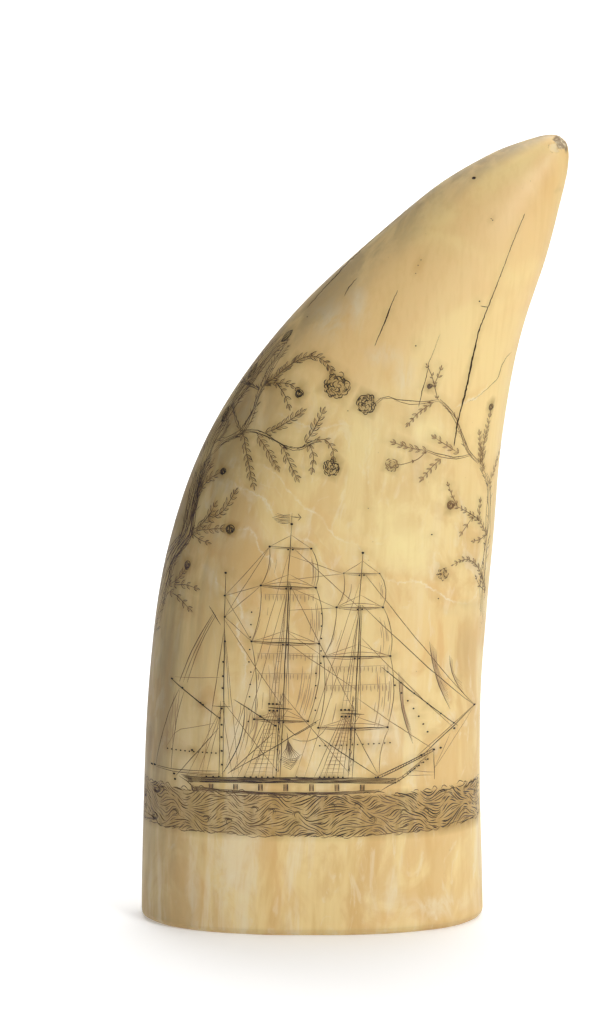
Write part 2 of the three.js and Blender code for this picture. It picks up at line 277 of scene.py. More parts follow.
# A line that sags or bows to one side: the middle is moved by bow, square to the chord.
def bowed(a, b, bow, steps=9):
    a, b = np.asarray(a, float), np.asarray(b, float)
    t = np.linspace(0, 1, steps)[:, None]
    side = np.array([-(b - a)[1], (b - a)[0]]) / max(np.hypot(*(b - a)), 1e-9)
    return a + (b - a) * t + side * bow * 4 * t * (1 - t)


# The barque, in millimetres as seen from the front. A mast's ups are heights over the deck.
ship = {
    "deck": 33.3, "stern": -27.8, "bow": 19.4, "waleTop": 30.5,
    "ports": (-21.0, -15.9, -10.7, -5.4, -0.1, 5.2, 10.5),
    "mizzen": {"foot": -19.0, "rake": 1.1, "height": 42.7,
               "joints": (2.6, 5.5, 8.4, 11.0, 14.4, 18.7, 21.2, 24.2, 28.5, 33.6, 38.0)},
    "main": {"foot": -7.1, "rake": 2.9, "height": 53.4, "cap": 18.0, "topmast": 41.5, "top": 14.9,
             "yards": ((12.4, 5.6), (28.7, 7.0), (40.4, 5.7), (48.5, 4.3)), "shroudFeet": (-15.6, -8.3)},
    "fore": {"foot": 7.9, "rake": 2.6, "height": 47.5, "cap": 17.2, "topmast": 36.6, "top": 13.7,
             "yards": ((10.8, 7.2), (25.8, 6.9), (36.1, 4.8), (43.2, 3.7)), "shroudFeet": (0.4, 6.4)},
    "boomEnd": (34.0, 46.2), "boomCap": (25.4, 38.5), "boomHeel": (13.7, 33.5),
}


# A point of a mast at a height over the deck, moved aside.
def mastPoint(mast, up, aside=0.0):
    return np.array([mast["foot"] + mast["rake"] * up / mast["height"] + aside, ship["deck"] + up])


def sheer(x):  # the deck line dips towards the stern and lifts a little at the bow
    return ship["deck"] + 0.35 - 0.9 * ((x + 6) / 24)**2 + 0.35 * ((x + 6) / 24)


# The hull: lines that follow the sheer, lower for every plank, with ports, counter, rudder and stem.
def drawHull():
    xs = np.linspace(ship["stern"], ship["bow"], 26)
    for k, drop in enumerate(np.linspace(0.0, 1.05, 6)):
        inner = xs[(xs > ship["stern"] + 1.6 * drop) & (xs < ship["bow"] - 0.5 * drop)]
        line = np.stack([inner, sheer(inner) - drop], -1)
        scratch(line, ("inkDark", "inkBrown", "inkBrown", "inkBrown", "inkDark", "inkDark")[k], 0.15, 0.1,
                sway=0.05, taper=0.3)
    # darker dashes in the bulwark, most aft
    for start in rng.uniform(ship["stern"] + 2, ship["bow"] - 7, 46):
        start = ship["stern"] + 2 + (start - ship["stern"] - 2) * rng.uniform(0.3, 1)
        drop = rng.uniform(0.05, 1.0)
        xd = np.linspace(start, start + rng.uniform(1.5, 4), 5)
        scratch(np.stack([xd, sheer(xd) - drop], -1), rng.choice(["inkDark", "inkPlum", "inkBlack"]), 0.13,
                0.1, sway=0.03)
    wale = np.linspace(ship["stern"] + 3.4, ship["bow"] - 5.4, 22)
    lift = 0.45 * ((wale + 6) / 22)**2
    for drop in (0.0, 0.2, 0.42):
        scratch(np.stack([wale, ship["waleTop"] - drop + lift], -1),
                "inkPlum" if drop == 0.2 else "inkBrown", 0.15, 0.1, sway=0.05, taper=0.4)
    for start in rng.uniform(ship["stern"] + 3, ship["bow"] - 10, 60):  # shade along and under the wale
        z = ship["waleTop"] + rng.uniform(-1.1, 0.1) + 0.45 * ((start + 6) / 22)**2
        scratch([(start, z), (start + rng.uniform(1, 3.5), z + rng.uniform(-0.12, 0.12))],
                rng.choice(["inkBrown", "inkPlum", "inkRust"]), 0.12, 0.07)
    for x in ship["ports"]:  # two dark bars with brown between, on the pale strake
        for k, ink in enumerate(("inkDark", "inkRust", "inkRust", "inkBlack")):
            at = x - 0.42 + 0.25 * k
            width = 0.2 if k in (0, 3) else 0.16
            foot = (at + rng.uniform(-0.04, 0.04), ship["waleTop"] + 0.3)
            scratch([(at, sheer(x) - 1.35), foot], ink, width, 0.1, gap=0.8, sway=0.02, taper=0.25)
    stern = [(ship["stern"], sheer(ship["stern"])), (-26.6, 32.0), (-25.2, 31.3), (-24.6, 30.4)]
    scratch(curve(stern), "inkDark", 0.14)
    for k in range(6):  # the counter's shaded underside
        a = between((ship["stern"] + 0.4, 32.9), (-25.2, 31.4), k / 6)
        scratch([a, a + (1.9 - 0.2 * k, 0.1)], "inkDark", 0.14, 0.09, gap=0.6)
    scratch([(-25.4, 31.4), (-25.1, 30.3), (-24.5, 29.3)], "inkDark", 0.16)
    for k in range(6):  # rudder and sternpost
        scratch([(-25.2 + 0.24 * k, 31.2 - 0.1 * k), (-24.9 + 0.22 * k, 29.7)], "inkPlum", 0.12, gap=0.6)
    stem = [(14.2, 30.6), (15.8, 31.6), (18.4, 32.7), (20.4, 34.2), (22.6, 35.9)]
    scratch(curve(stem), "inkDark", 0.14)
    scratch(curve([(15.2, 32.3), (18.0, 33.0), (20.2, 34.5), (24.4, 37.6)]), "inkBrown", 0.12)
    for k in range(7):  # netting on the head
        a = between((17.6, 32.6), (24.2, 37.2), k / 7)
        scratch([a, a + (0.9, 0.1)], "inkBrown", 0.1, 0.07, gap=0.5)
        scratch([a + (0.2, 0.5), a + (0.7, -0.3)], "inkBrown", 0.1, 0.07, gap=0.5)
    for x in np.concatenate([np.linspace(-14, -8, 6), np.linspace(1.6, 6.4, 6),
                             [-22, -20.6, -19.4, -3.2, 13.2]]):
        peck(x, sheer(x) + 0.15, 0.19)  # deadeyes


# A square sail hangs between two yards: bowed sides, a foot that arches up, and soft shading
# down its lee side.
def drawSquareSail(mast, low, high, shade):
    (lowUp, lowHalf), (highUp, highHalf) = low, high
    foot = [mastPoint(mast, lowUp, -lowHalf), mastPoint(mast, lowUp, lowHalf)]
    head = [mastPoint(mast, highUp, -highHalf), mastPoint(mast, highUp, highHalf)]
    scratch(bowed(foot[0], head[0], -0.75), "inkBrown", 0.14)
    scratch(bowed(foot[1], head[1], -1.0), "inkBrown", 0.14)
    scratch(bowed(foot[0], foot[1], 0.95), "inkRust", 0.11, 0.07)
    scratch(bowed(foot[0], foot[1], -0.55), "inkRust", 0.1, 0.06)
    for k in range(shade):
        inward = (k + rng.uniform(0.2, 0.8)) * 0.3
        side = 1 if k % 4 else -1
        a = between(foot[1 if side > 0 else 0], foot[0 if side > 0 else 1], inward / (2 * lowHalf))
        b = between(head[1 if side > 0 else 0], head[0 if side > 0 else 1], inward / (2 * highHalf))
        s0, s1 = sorted(rng.uniform(0, 1, 2))
        line = bowed(a, b, -0.9, 15)
        part = line[int(s0 * 10): int(s0 * 10) + 3 + int((s1 - s0) * 11)]
        scratch(part, "inkFaint", rng.uniform(0.1, 0.2), 0.05, sway=0.03)


# Reef points: short marks hanging from a line across a sail.
def drawReefs(mast, low, high, rows):
    for row in rows:  # short hanging points in a row across the sail
        up = low[0] + (high[0] - low[0]) * row
        half = low[1] + (high[1] - low[1]) * row
        for x in np.arange(-half + 1.2, half - 0.3, 0.82):
            p = mastPoint(mast, up, x + rng.uniform(-0.1, 0.1))
            scratch([p, p + (rng.uniform(-0.08, 0.08), -rng.uniform(0.9, 1.5))], "inkFaint", 0.19, 0.05,
                    gap=0.6)
        scratch([mastPoint(mast, up, -half + 0.8), mastPoint(mast, up + 0.1, half - 0.2)], "inkFaint", 0.09,
                0.04)


# A square-rigged mast: doubled lower mast, topmast, yards with their lifts, top, shrouds and ratlines.
def drawMast(mast):
    def at(up, aside=0.0):
        return mastPoint(mast, up, aside)

    lower, cap = at(0), at(mast["cap"])
    for aside in (-0.42, 0.42):
        scratch([lower + (aside, 0), cap + (aside, 0)], "inkDark", 0.14, gap=2)
    for up in np.arange(1.5, mast["cap"], 0.62):  # shaded side of the lower mast
        p = at(up, rng.uniform(-0.35, 0.1))
        scratch([p, p + (0.03, rng.uniform(0.5, 1.1))], "inkBrown", 0.13, 0.07, gap=0.5)
    for up in np.arange(2.0, mast["top"] - 1, 2.15):
        peck(*at(up, rng.choice([-0.42, 0.42])), 0.17)
    base = at(mast["top"] - 0.4, 0.25)
    head = at(mast["topmast"], 0.1)
    scratch([base, head], "inkDark", 0.2, 0.11, gap=2)
    scratch([base + (0.5, 0), head + (0.35, 0)], "inkBrown", 0.11, gap=2)
    truck = at(mast["height"])
    scratch([at(mast["topmast"] - 3, -0.25), truck], "inkDark", 0.13, gap=2)
    peck(*truck, 0.28)
    for up, half in mast["yards"]:
        dark = "inkDark" if half > 5.5 else "inkBrown"
        a, b = at(up + 0.12, -half), at(up - 0.1, half)
        scratch([a, b], dark, 0.18 if half > 5.5 else 0.13, 0.1, sway=0.03)
        rope(a + (0.5, -0.3), b + (-0.5, -0.28), ink="inkBrown")
        sling = at(up + 2.6, 0.1)
        for end in (a, b):  # lifts
            scratch(bowed(sling, end, 0.0), "inkRust", 0.1, 0.06)
            peck(*end, 0.25 if half > 4 else 0.16)
        for aside in (-0.45, 0.5):
            peck(*at(up - 0.35, aside), 0.2)
    top = at(mast["top"])
    scratch([top + (-2.7, 0.2), top + (2.2, -0.1)], "inkBlack", 0.2)
    scratch([top + (-2.4, 0.9), top + (0.6, 0.8)], "inkBrown", 0.12)
    for x in (-2.6, -1.8, -1.0):
        peck(*(top + (x, 0.95)), 0.24)
        peck(*(top + (x + 0.1, -0.45)), 0.22)
    for aside in (-2.5, -1.7, -0.9, 1.4):  # topmast shrouds and futtocks
        rope(top + (aside, 0.9), at(mast["topmast"] - 1.5, 0.15 * np.sign(aside)), ink="inkBrown", gap=3)
        rope(top + (aside, 0), at(mast["top"] - 2.8, -0.3), ink="inkBrown", width=0.11)
    first, last = mast["shroudFeet"]
    feet = np.linspace(first, last, 6)
    heads = np.linspace(-2.4, -0.7, 6)
    for foot, aside in zip(feet, heads):
        rope((foot, sheer(foot)), top + (aside, -0.2), ink="inkBrown", width=0.11, gap=2.5)
    for share in np.arange(0.08, 0.97, 0.062):  # ratlines
        a = between((feet[1], sheer(feet[1])), top + (heads[1], 0), share)
        b = between((feet[5], sheer(feet[5])), top + (heads[5], 0), share)
        scratch(bowed(a, b, 0.08), "inkFaint" if share < 0.2 else "inkRust", 0.09, 0.05)
    for share in np.arange(0.1, 0.75, 0.09):  # ratlines of the topmast
        a = between(top + (-2.5, 0.9), at(mast["topmast"] - 1.5), share)
        b = between(top + (-0.9, 0.9), at(mast["topmast"] - 1.5), share)
        scratch([a, b], "inkFaint", 0.09, 0.05, gap=0.6)
    for up, drift in ((mast["topmast"], 9.5), (mast["height"] - 5, 11.5), (mast["cap"], 5.5)):  # backstays
        end = at(0)[0] - drift
        rope(at(up), (end, sheer(max(end, ship["stern"] + 1))), gap=3)


# The mizzen with its gaff, boom, spanker and gaff topsail.
def drawMizzen():
    mast = ship["mizzen"]

    def at(up, aside=0.0):
        return mastPoint(mast, up, aside)

    for aside in (-0.4, 0.35):
        scratch([at(0, aside), at(16.0, aside)], "inkDark", 0.13, gap=2)
    scratch([at(13.5, 0.3), at(31.5)], "inkBlack", 0.19, 0.1, gap=2)
    scratch([at(30), at(mast["height"])], "inkDark", 0.13, gap=2)
    for up in mast["joints"]:
        peck(*at(up, rng.uniform(-0.15, 0.2)), 0.23)
    peck(*at(mast["height"]), 0.27)
    throat, peak = at(12.3, -0.5), np.array([-29.2, 52.6])
    scratch([throat, peak], "inkBlack", 0.22, 0.12, sway=0.02)
    for share in (0.0, 0.35, 0.4, 0.78, 1.0):
        peck(*(between(throat, peak, share) + (0, 0.1)), 0.24)
    tack, clew = at(1.2, -0.6), np.array([-33.0, 33.8])
    scratch(bowed(tack, clew, 0.15), "inkBrown", 0.13)
    scratch(bowed(tack + (0, -0.8), clew + (0.4, -0.3), 0.2), "inkBrown", 0.12)
    for k in range(4):
        rope(tack + (0.2, -0.5 - 0.3 * k), clew + (5.5 + 0.6 * k, -0.2 - 0.25 * k))
    for end in (clew, clew + (-0.6, -0.1), (-28.8, 32.9), (-28.6, 31.8)):
        peck(*end, 0.24)
    scratch(bowed(peak + (1.6, -1.6), clew + (0.3, 0.2), -0.7), "inkDark", 0.14)
    scratch(bowed(peak + (2.6, -2.0), clew + (3.6, 0.0), -0.6), "inkBrown", 0.12)
    for k in range(12):  # soft shade along the spanker's leech
        start = between(peak, clew, rng.uniform(0.1, 0.7)) + (rng.uniform(0.6, 2.2), 0)
        scratch(bowed(start, start + (-0.3 - 0.12 * k / 12, -rng.uniform(3, 6)), -0.2), "inkFaint", 0.2,
                0.05)
    for x in np.linspace(-30.2, -20.0, 12):
        peck(x, 38.1 + 0.03 * (x + 25), 0.17)
    rope((-30.6, 38.0), (-28.2, 42.2), (-20.0, 44.6))
    scratch([(-28.4, 32.6), (-19.4, 43.6)], "inkDark", 0.13)
    peck(-25.0, 38.4, 0.25)
    scratch([(-21.4, 68.9), (-18.9, 65.1)], "inkDark", 0.15)
    for k in range(3):  # gaff topsail
        scratch(bowed((-20.6 + 0.35 * k, 67.2), (-27.6 + 0.8 * k, 52.4), -0.5), "inkBrown",
                0.13 if k else 0.19, 0.08)
    rope((-28.6, 53.2), (-19.2, 54.2))
    for foot, up in ((-26.2, 15.0), (-24.0, 15.0), (-22.2, 15.0), (-23.0, 31.0), (-16.6, 15.0),
                     (-15.2, 31.5)):
        rope((foot, sheer(foot)), at(up), gap=3)
    for aside in (-2.0, 1.4):
        rope(at(14.8, aside), at(30, 0.1 * aside), ink="inkBrown", gap=3)
    scratch([at(14.8, -2.2), at(14.9, 1.7)], "inkDark", 0.14)


# The trysail abaft the main mast, and the main course hauled up in a bunch.
def drawTrysail():
    throat, peak = np.array([-7.6, 44.6]), np.array([-16.3, 49.8])
    scratch([throat, peak], "inkDark", 0.17)
    peck(*between(throat, peak, 0.36), 0.27)
    peck(*throat, 0.26)
    scratch(bowed((-14.0, 48.4), (-18.8, 33.9), 1.3), "inkBlack", 0.17)
    scratch([(-17.6, 34.0), (-9.6, 41.5), (-8.2, 43.0)], "inkBrown", 0.13)
    for k in range(9):
        a = between(throat, peak, rng.uniform(0.2, 0.95))
        scratch(bowed(a, a + (-rng.uniform(0.5, 1.6), -rng.uniform(4, 9)), 0.4), "inkFaint", 0.17, 0.05)
    head = np.array([-5.2, 43.2])
    for k in range(11):
        side = k / 10 * 2 - 1
        end = np.array([-4.4 + 1.9 * side, 37.0 + 1.4 * abs(side)])
        scratch(bowed(head, end, -0.7 * side), "inkBrown", 0.13, 0.07)
    for k in range(6):
        scratch(bowed((-6.4 + 0.1 * k, 38.2 - 0.42 * k), (-2.2 - 0.25 * k, 38.6 - 0.4 * k), -0.9),
                "inkBrown", 0.13, 0.07)
    scratch(bowed((-4.2, 41.9), (3.2, 44.6), -1.7), "inkBrown", 0.12, 0.07)
    scratch([(-5.8, 44.9), (-3.6, 42.6), (1.0, 45.2)], "inkDark", 0.14)


# Bowsprit, jib boom, martingale, stays and the jibs' bunched shading.
def drawHeadSails():
    heel, capEnd, end = (np.array(ship[k]) for k in ("boomHeel", "boomCap", "boomEnd"))
    side = np.array([-0.25, 0.42])
    for k, offset in enumerate((-0.5, 0.5)):
        scratch([heel + side * offset, capEnd + side * offset], "inkBlack" if k else "inkDark", 0.17)
    for share in np.linspace(0.05, 0.95, 20):
        a = between(heel, capEnd, share) - side * 0.5
        rope(a, a + (0.35, 0.55), ink="inkBrown", width=0.11, gap=0.5)
    scratch(bowed(between(heel, capEnd, 0.8), end, 0.25), "inkBlack", 0.18)
    scratch(bowed(between(heel, capEnd, 0.72) + side, end - (0.3, 0), 0.2), "inkBrown", 0.12)
    for at in (heel, capEnd, end, between(capEnd, end, 0.5), capEnd + (-2.6, -0.9), capEnd + (1.4, 0.2)):
        peck(*at, 0.25)
    striker = capEnd + (0.15, -6.3)
    scratch([capEnd + (0, -0.4), striker], "inkDark", 0.15)
    for at in (end, between(capEnd, end, 0.4)):
        rope(striker + (-0.1, 2.2), at)
    rope(striker + (-0.2, 0.9), (19.8, 33.6))
    rope(striker + (0, 1.5), (20.6, 34.6))
    for share in np.linspace(0.1, 0.9, 5):
        peck(*between((20.0, 34.0), capEnd + (-0.8, -1.6), share), 0.2)
    fore = ship["fore"]
    stays = ((mastPoint(fore, 23.5, 5.2), capEnd + (5.0, 4.3), "inkBlack", 0.18),
             (mastPoint(fore, 17.0, 0.6), capEnd, "inkRust", 0.11),
             (mastPoint(fore, fore["topmast"], 0.4), end, "inkDark", 0.14),
             (mastPoint(fore, fore["height"] - 4, 0.3), end, "inkBrown", 0.12),
             (mastPoint(fore, 30.0, 0.4), between(capEnd, end, 0.5), "inkRust", 0.11))
    for top, foot, ink, width in stays:
        scratch([top, foot], ink, width, gap=3)
    for share in np.linspace(0.08, 0.95, 6):
        peck(*between(stays[0][0], stays[0][1], share), 0.2)
    for luff, clew, rows in (((18.0, 55.5), (21.0, 40.2), 6), ((24.4, 61.5), (28.8, 46.6), 8),
                             ((28.6, 58.0), (31.6, 49.5), 4)):
        scratch(bowed(luff, clew, -0.8), "inkBrown", 0.12)
        for k in range(rows):  # bunched shading of a jib
            a = np.array(luff) + (0.22 * k, -0.3 * k)
            b = np.array(clew) + (-0.1 * k, 0.7 * k)
            scratch(bowed(a, b, -0.8), "inkFaint" if k % 4 else "inkRust", 0.13, 0.06)
    for share in np.linspace(0, 1, 7):
        peck(*(between((17.2, 52.8), (24.0, 42.4), share) + (0.5 * math.sin(3 * share), 0)), 0.2)


# Braces and stays between the masts.
def drawRunning():
    mizzen, main, fore = ship["mizzen"], ship["main"], ship["fore"]
    for up, half in main["yards"][1:]:  # braces aft, from the main yards to the mizzen
        for target in (33.6, 38.0):
            rope(mastPoint(main, up + 0.1, -half), mastPoint(mizzen, target), ink="inkBrown", width=0.11,
                 gap=3)
    for up, half in fore["yards"][1:]:
        for target in (up * 0.9 + 3, up * 0.9 + 8):
            rope(mastPoint(fore, up, -half), mastPoint(main, target), gap=3)
    stays = ((main, 41.5, fore, 14.5), (main, 18.0, fore, 1.0), (main, 49.0, fore, 36.0),
             (mizzen, 16.0, main, 1.5), (mizzen, 33.0, main, 15.5), (main, 29.0, fore, 19.0))
    for a, upA, b, upB in stays:
        scratch([mastPoint(a, upA), mastPoint(b, upB)], "inkBrown", 0.12, 0.07, gap=3)
    scratch([(1.3, 42.4), (13.4, 33.9)], "inkDark", 0.15)
    scratch([(1.6, 46.0), (-12.0, 37.5), (-17.5, 34.2)], "inkDark", 0.14)
    scratch(bowed((8.6, 44.0), (13.6, 34.4), 0.0), "inkBrown", 0.13)
    scratch(bowed((16.0, 43.8), (14.0, 34.4), -0.7), "inkRust", 0.12)
    for x in np.linspace(1.6, 16.2, 14):
        peck(x, 40.4 + 0.02 * x, 0.16)
    for up, half in ((12.0, 7.1), (24.5, 7.6)):  # leech dots of the main topsail
        for k in range(5):
            peck(*mastPoint(main, up + 2.6 * k, half - 0.1 * k), 0.18)
            peck(*mastPoint(main, up + 2.6 * k, -half + 0.3), 0.17)


# A pennant of bowed lines at the main truck.
def drawPennant():
    truck = mastPoint(ship["main"], ship["main"]["height"])
    scratch([truck, truck + (0.1, 2.2)], "inkBrown", 0.11)
    for k in range(7):
        line = bowed(truck + (-0.3, 1.9 - 0.27 * k), truck + (-4.0 + 0.3 * abs(k - 3), 2.1 - 0.3 * k), 0.25)
        scratch(line, "inkBrown" if k % 2 else "inkDark", 0.12, 0.06)
    scratch([truck + (-0.2, 1.5), truck + (1.9, 1.4)], "inkDark", 0.13)
    for rise in (0.75, -0.7):
        scratch([truck + (1.3, 1.4 + rise), truck + (2.0, 1.4)], "inkDark", 0.13, gap=0.5)


sea = {"from": -1.64, "to": 1.42, "foot": 21.4, "top": 29.9, "gap": 0.62, "step": 0.36}


# The slope of the water at a place: rollers of a few lengths that drift along the band, so that
# lines bunch and part.
def seaSlope(x, z):
    drift = 2.4 * rippleAt(seaWaves, 0.6 * x, 1.3 * z)
    long = np.sin(0.5 * x + 0.5 * z + drift)
    short = np.sin(1.15 * x - 0.5 * z + 1.7 * drift + 0.6)
    return 0.78 * long + 0.42 * short


seaWaves = ripple(21, 6, 0.25, 0.8)
toneWaves = ripple(22, 4, 0.1, 0.35)


# Lays a line given by the millimetres round the tooth and by its height.
def layOnSea(line, edge, turns, arc, ink, width, depth=0.1):
    turn = np.interp(line[:, 0], arc, turns)
    x = np.interp(line[:, 0], arc, edge[:, 0])
    z = line[:, 1] + 0.5 * (x / 34)**4 * np.sign(x) + 0.5 * (x / 34)**2
    rise = np.array(tooth["spineRise"]) * tooth["height"]
    along = z / (3 * rise[1])
    for _ in range(6):  # the share up the spine whose height is z
        along = along - (bezier(rise, along) - z) / bezierSlope(rise, along)
    half = width * hand["weight"] / 2 * (1 - 0.8 * (2 * np.abs(np.linspace(0, 1, len(line)) - 0.5))**2.4)
    addStroke(turn, along, half, depth, ink)


# The sea: streamlines of the slope fill the band in bunches, with curls, broken crests and dark knots.
def drawSea():
    turns = np.linspace(sea["from"], sea["to"], 400)
    edge = wall(turns, np.full(400, 0.14))
    arc = np.concatenate([[0], np.cumsum(np.linalg.norm(np.diff(edge, axis=0), axis=1))])
    end = arc[-1]

    def lay(line, ink, width):
        layOnSea(line, edge, turns, arc, ink, width)

    def inkAt(x, z):
        if x / end < 0.15:
            return rng.choice(["inkPlum", "inkBrown"])
        tone = rippleAt(toneWaves, x, 2 * z) + (1.1 * x / end - 0.62) + rng.uniform(-0.5, 0.5)
        return "inkBlack" if tone > 0.75 else ("inkDark" if tone > 0.05 else "inkBrown")

    # streamlines grow both ways from scattered seeds until they come near one another
    cell = sea["gap"] / 1.5
    xs = np.arange(0, end + 1, 0.5 * cell)
    zs = np.arange(sea["foot"] - 1, sea["top"] + 1, 0.5 * cell)
    slopes = seaSlope(xs[:, None], zs[None, :]).tolist()
    taken = {}
    seeds = np.stack(np.meshgrid(np.arange(0.3, end, sea["gap"]),
                                 np.arange(sea["foot"], sea["top"], sea["gap"])), -1)
    seeds = rng.permutation(seeds.reshape(-1, 2) + rng.uniform(-0.1, 0.1, (seeds.size // 2, 2)))
    for k, seed in enumerate(seeds.tolist()):
        line = []
        longest = rng.integers(5, 15)
        for way in (-1, 1):
            x, z = seed
            part = []
            while 0 < x < end and sea["foot"] - 0.4 < z < sea["top"] + 0.3 and len(part) < longest:
                if taken.get((int(x / cell), int(z / cell)), k) != k:
                    break
                part.append((x, z))
                slope = slopes[int(2 * x / cell)][int(2 * (z - zs[0]) / cell)]
                x += way * sea["step"] / math.hypot(1, slope)
                z += way * sea["step"] * slope / math.hypot(1, slope)
            line = part[::-1] + line if way < 0 else line + part[1:]
        if len(line) > 3:
            for x, z in line:
                taken[(int(x / cell), int(z / cell))] = k
            stations = np.array(line)[::2]
            width = rng.uniform(0.12, 0.23) * (0.9 + 0.35 * seed[0] / end)
            layOnSea(stations, edge, turns, arc, inkAt(*seed), width, rng.choice([0.07, 0.1]))
    for x in np.arange(2.5, end - 2, 5.5):  # curls, each with a line or two round it
        centre = np.array([x + rng.uniform(-2, 2), rng.uniform(sea["foot"] + 1, sea["top"] - 0.8)])
        side = rng.choice([-1, 1])
        for k in range(2):
            turn = np.linspace(0.3, 4.4 - 0.8 * k, 9 - k) + rng.uniform(-0.2, 0.2)
            radius = (0.22 + 0.14 * turn) * (1 if k == 0 else 1 + 0.42 * k)
            spiral = centre + np.stack([side * radius * np.cos(turn) * 1.25, radius * np.sin(turn)], -1)
            lay(spiral, "inkDark" if k == 0 else "inkBrown", 0.14 - 0.02 * k)
    t = np.linspace(0, 1, 5)
    # broken crests, and a loose edge at the foot
    for x in np.arange(1, end - 3, 2.2) + rng.uniform(-0.8, 0.8):
        reach, rise = rng.uniform(1.2, 2.9), rng.uniform(0.2, 1.1)
        z = sea["top"] + rng.uniform(-0.7, 0.3)
        lay(np.stack([x + reach * t, z + rise * np.sin(np.pi * t) * (1 - 0.6 * t)], -1), inkAt(x, z), 0.15)
        z = sea["foot"] + rng.uniform(-0.4, 0.3)
        lay(np.stack([x + 1.3 * reach * t, z + rng.uniform(-0.5, 0.1) * np.sin(np.pi * t) + 0.3 * t], -1),
            inkAt(x, z), 0.12)
    for x, z in ((6.5, 26.6), (12.5, 28.4), (12.0, 22.8), (2.2, 24.3)):  # dark knots at the left
        for k in range(5):
            t = np.linspace(0, 1.6 * np.pi, 9)
            lay(np.stack([x + (0.25 + 0.18 * k) * np.cos(t + k) * 1.5,
                          z + (0.2 + 0.14 * k) * np.sin(t + k)], -1), "inkPlum", 0.14)


# The direction of a path on the wall at each of its points, as an angle from the level.
def headings(path):
    turn, along = seenPlace(path[:, 0], path[:, 1])
    over, up, _ = wallSlopes(turn, along)
    flat = np.gradient(turn)[:, None] * over + np.gradient(along)[:, None] * up
    level = over / np.linalg.norm(over, axis=1, keepdims=True)
    rise = up - (up * level).sum(1, keepdims=True) * level
    rise /= np.linalg.norm(rise, axis=1, keepdims=True)
    return turn, along, np.arctan2((flat * rise).sum(1), (flat * level).sum(1))


# A small pointed leaf from a place on the wall: two lines that bow apart and meet at its point.
def drawLeaf(place, angle, reach, ink, width, side):
    toward = np.array([math.cos(angle), math.sin(angle)]) * reach
    aside = np.array([-toward[1], toward[0]]) * side
    for bow, line, thick, depth in ((0.13, ink, width, 0.1), (-0.13, "inkRust", 0.7 * width, 0.06)):
        body = np.array([0.03 * toward, 0.5 * toward + bow * aside, toward])
        scratch(curve(body, 0.3), line, thick, depth, anchor=place, gap=0.5, sway=0, taper=0.8)


# A twig of small pointed leaflets that lean forward in pairs, in millimetres seen from the front.
def drawTwig(points, size=1.5, ink="inkDark", stem=0.13, spread=0.58, step=1.0, bare=0.05):
    path = curve(points, 0.4)
    scratch(path, ink, stem, 0.09, gap=0.8)
    turn, along, heading = headings(path)
    length = np.hypot(*np.diff(path, axis=0).T).sum()
    for share in np.linspace(bare, 0.97, max(3, int(length * (1 - bare) / step))):
        for side in (-1, 1):
            i = min(len(path) - 1, max(0, int((share + rng.uniform(-0.02, 0.02)) * (len(path) - 1))))
            reach = size * (0.72 + 0.5 * math.sin(math.pi * (0.25 + 0.62 * share))) * rng.uniform(0.75, 1.1)
            angle = heading[i] + side * spread * rng.uniform(0.75, 1.25)
            drawLeaf((turn[i], along[i]), angle, reach, ink, 0.14, side)
    drawLeaf((turn[-1], along[-1]), heading[-1], 0.9 * size, ink, 0.14, 1)


# A rose: short petal edges laid out by the golden angle, each an uneven open curl that faces out,
# with a fold or two behind it.
def drawRose(x, z, radius, ink="inkDark", petals=34, bold=1.0):
    anchor = tuple(float(v[0]) for v in seenPlace(np.array([x]), np.array([z])))
    start = rng.uniform(0, 2 * np.pi)
    for k in range(petals):
        share = math.sqrt((k + 0.5) / petals)
        angle = start + 2.4 * k
        middle = 0.7 * radius * share * np.array([math.cos(angle), math.sin(angle)])
        size = radius * rng.uniform(0.2, 0.34)
        t = np.linspace(-1.0, 1.0, 8) * rng.uniform(0.8, 1.35)
        uneven = 1 + 0.2 * np.sin(2.6 * t + rng.uniform(0, 6))
        face = angle + rng.uniform(-0.8, 0.8) * (3 if k < 9 else 1)
        petal = middle + (size * uneven)[:, None] * np.stack([np.cos(face + t), np.sin(face + t)], -1)
        tone = "inkBlack" if rng.uniform() < 0.3 else ink
        scratch(petal, tone, rng.uniform(0.13, 0.21) * bold, 0.1, anchor=anchor, gap=0.45, sway=0.02,
                taper=0.7)
        if rng.uniform() < 0.6:
            bend = face + rng.uniform(-0.9, 0.9)
            toward = np.array([math.cos(bend), math.sin(bend)]) * size
            scratch([middle + 0.1 * toward, middle + 0.8 * toward], ink, 0.12 * bold, 0.07, anchor=anchor,
                    gap=0.4, sway=0)


# A bud: rings that shrink inwards, with a few spokes.
def drawBud(x, z, radius, ink="inkBlack"):
    turn, along = (float(v[0]) for v in seenPlace(np.array([x]), np.array([z])))
    for k in range(4):
        t = np.linspace(0, 1.6 * np.pi, 9) + 1.9 * k
        r = radius * (1 - 0.22 * k)
        scratch(np.stack([r * np.cos(t), r * np.sin(t)], -1), ink, 0.17, 0.11, anchor=(turn, along),
                gap=0.3, sway=0.03, taper=0.3)
    for angle in rng.uniform(0, 2 * np.pi, 5):
        toward = np.array([math.cos(angle), math.sin(angle)])
        scratch([toward * 0.15 * radius, toward * 0.8 * radius], ink, 0.17, 0.11, anchor=(turn, along),
                gap=0.3, sway=0)


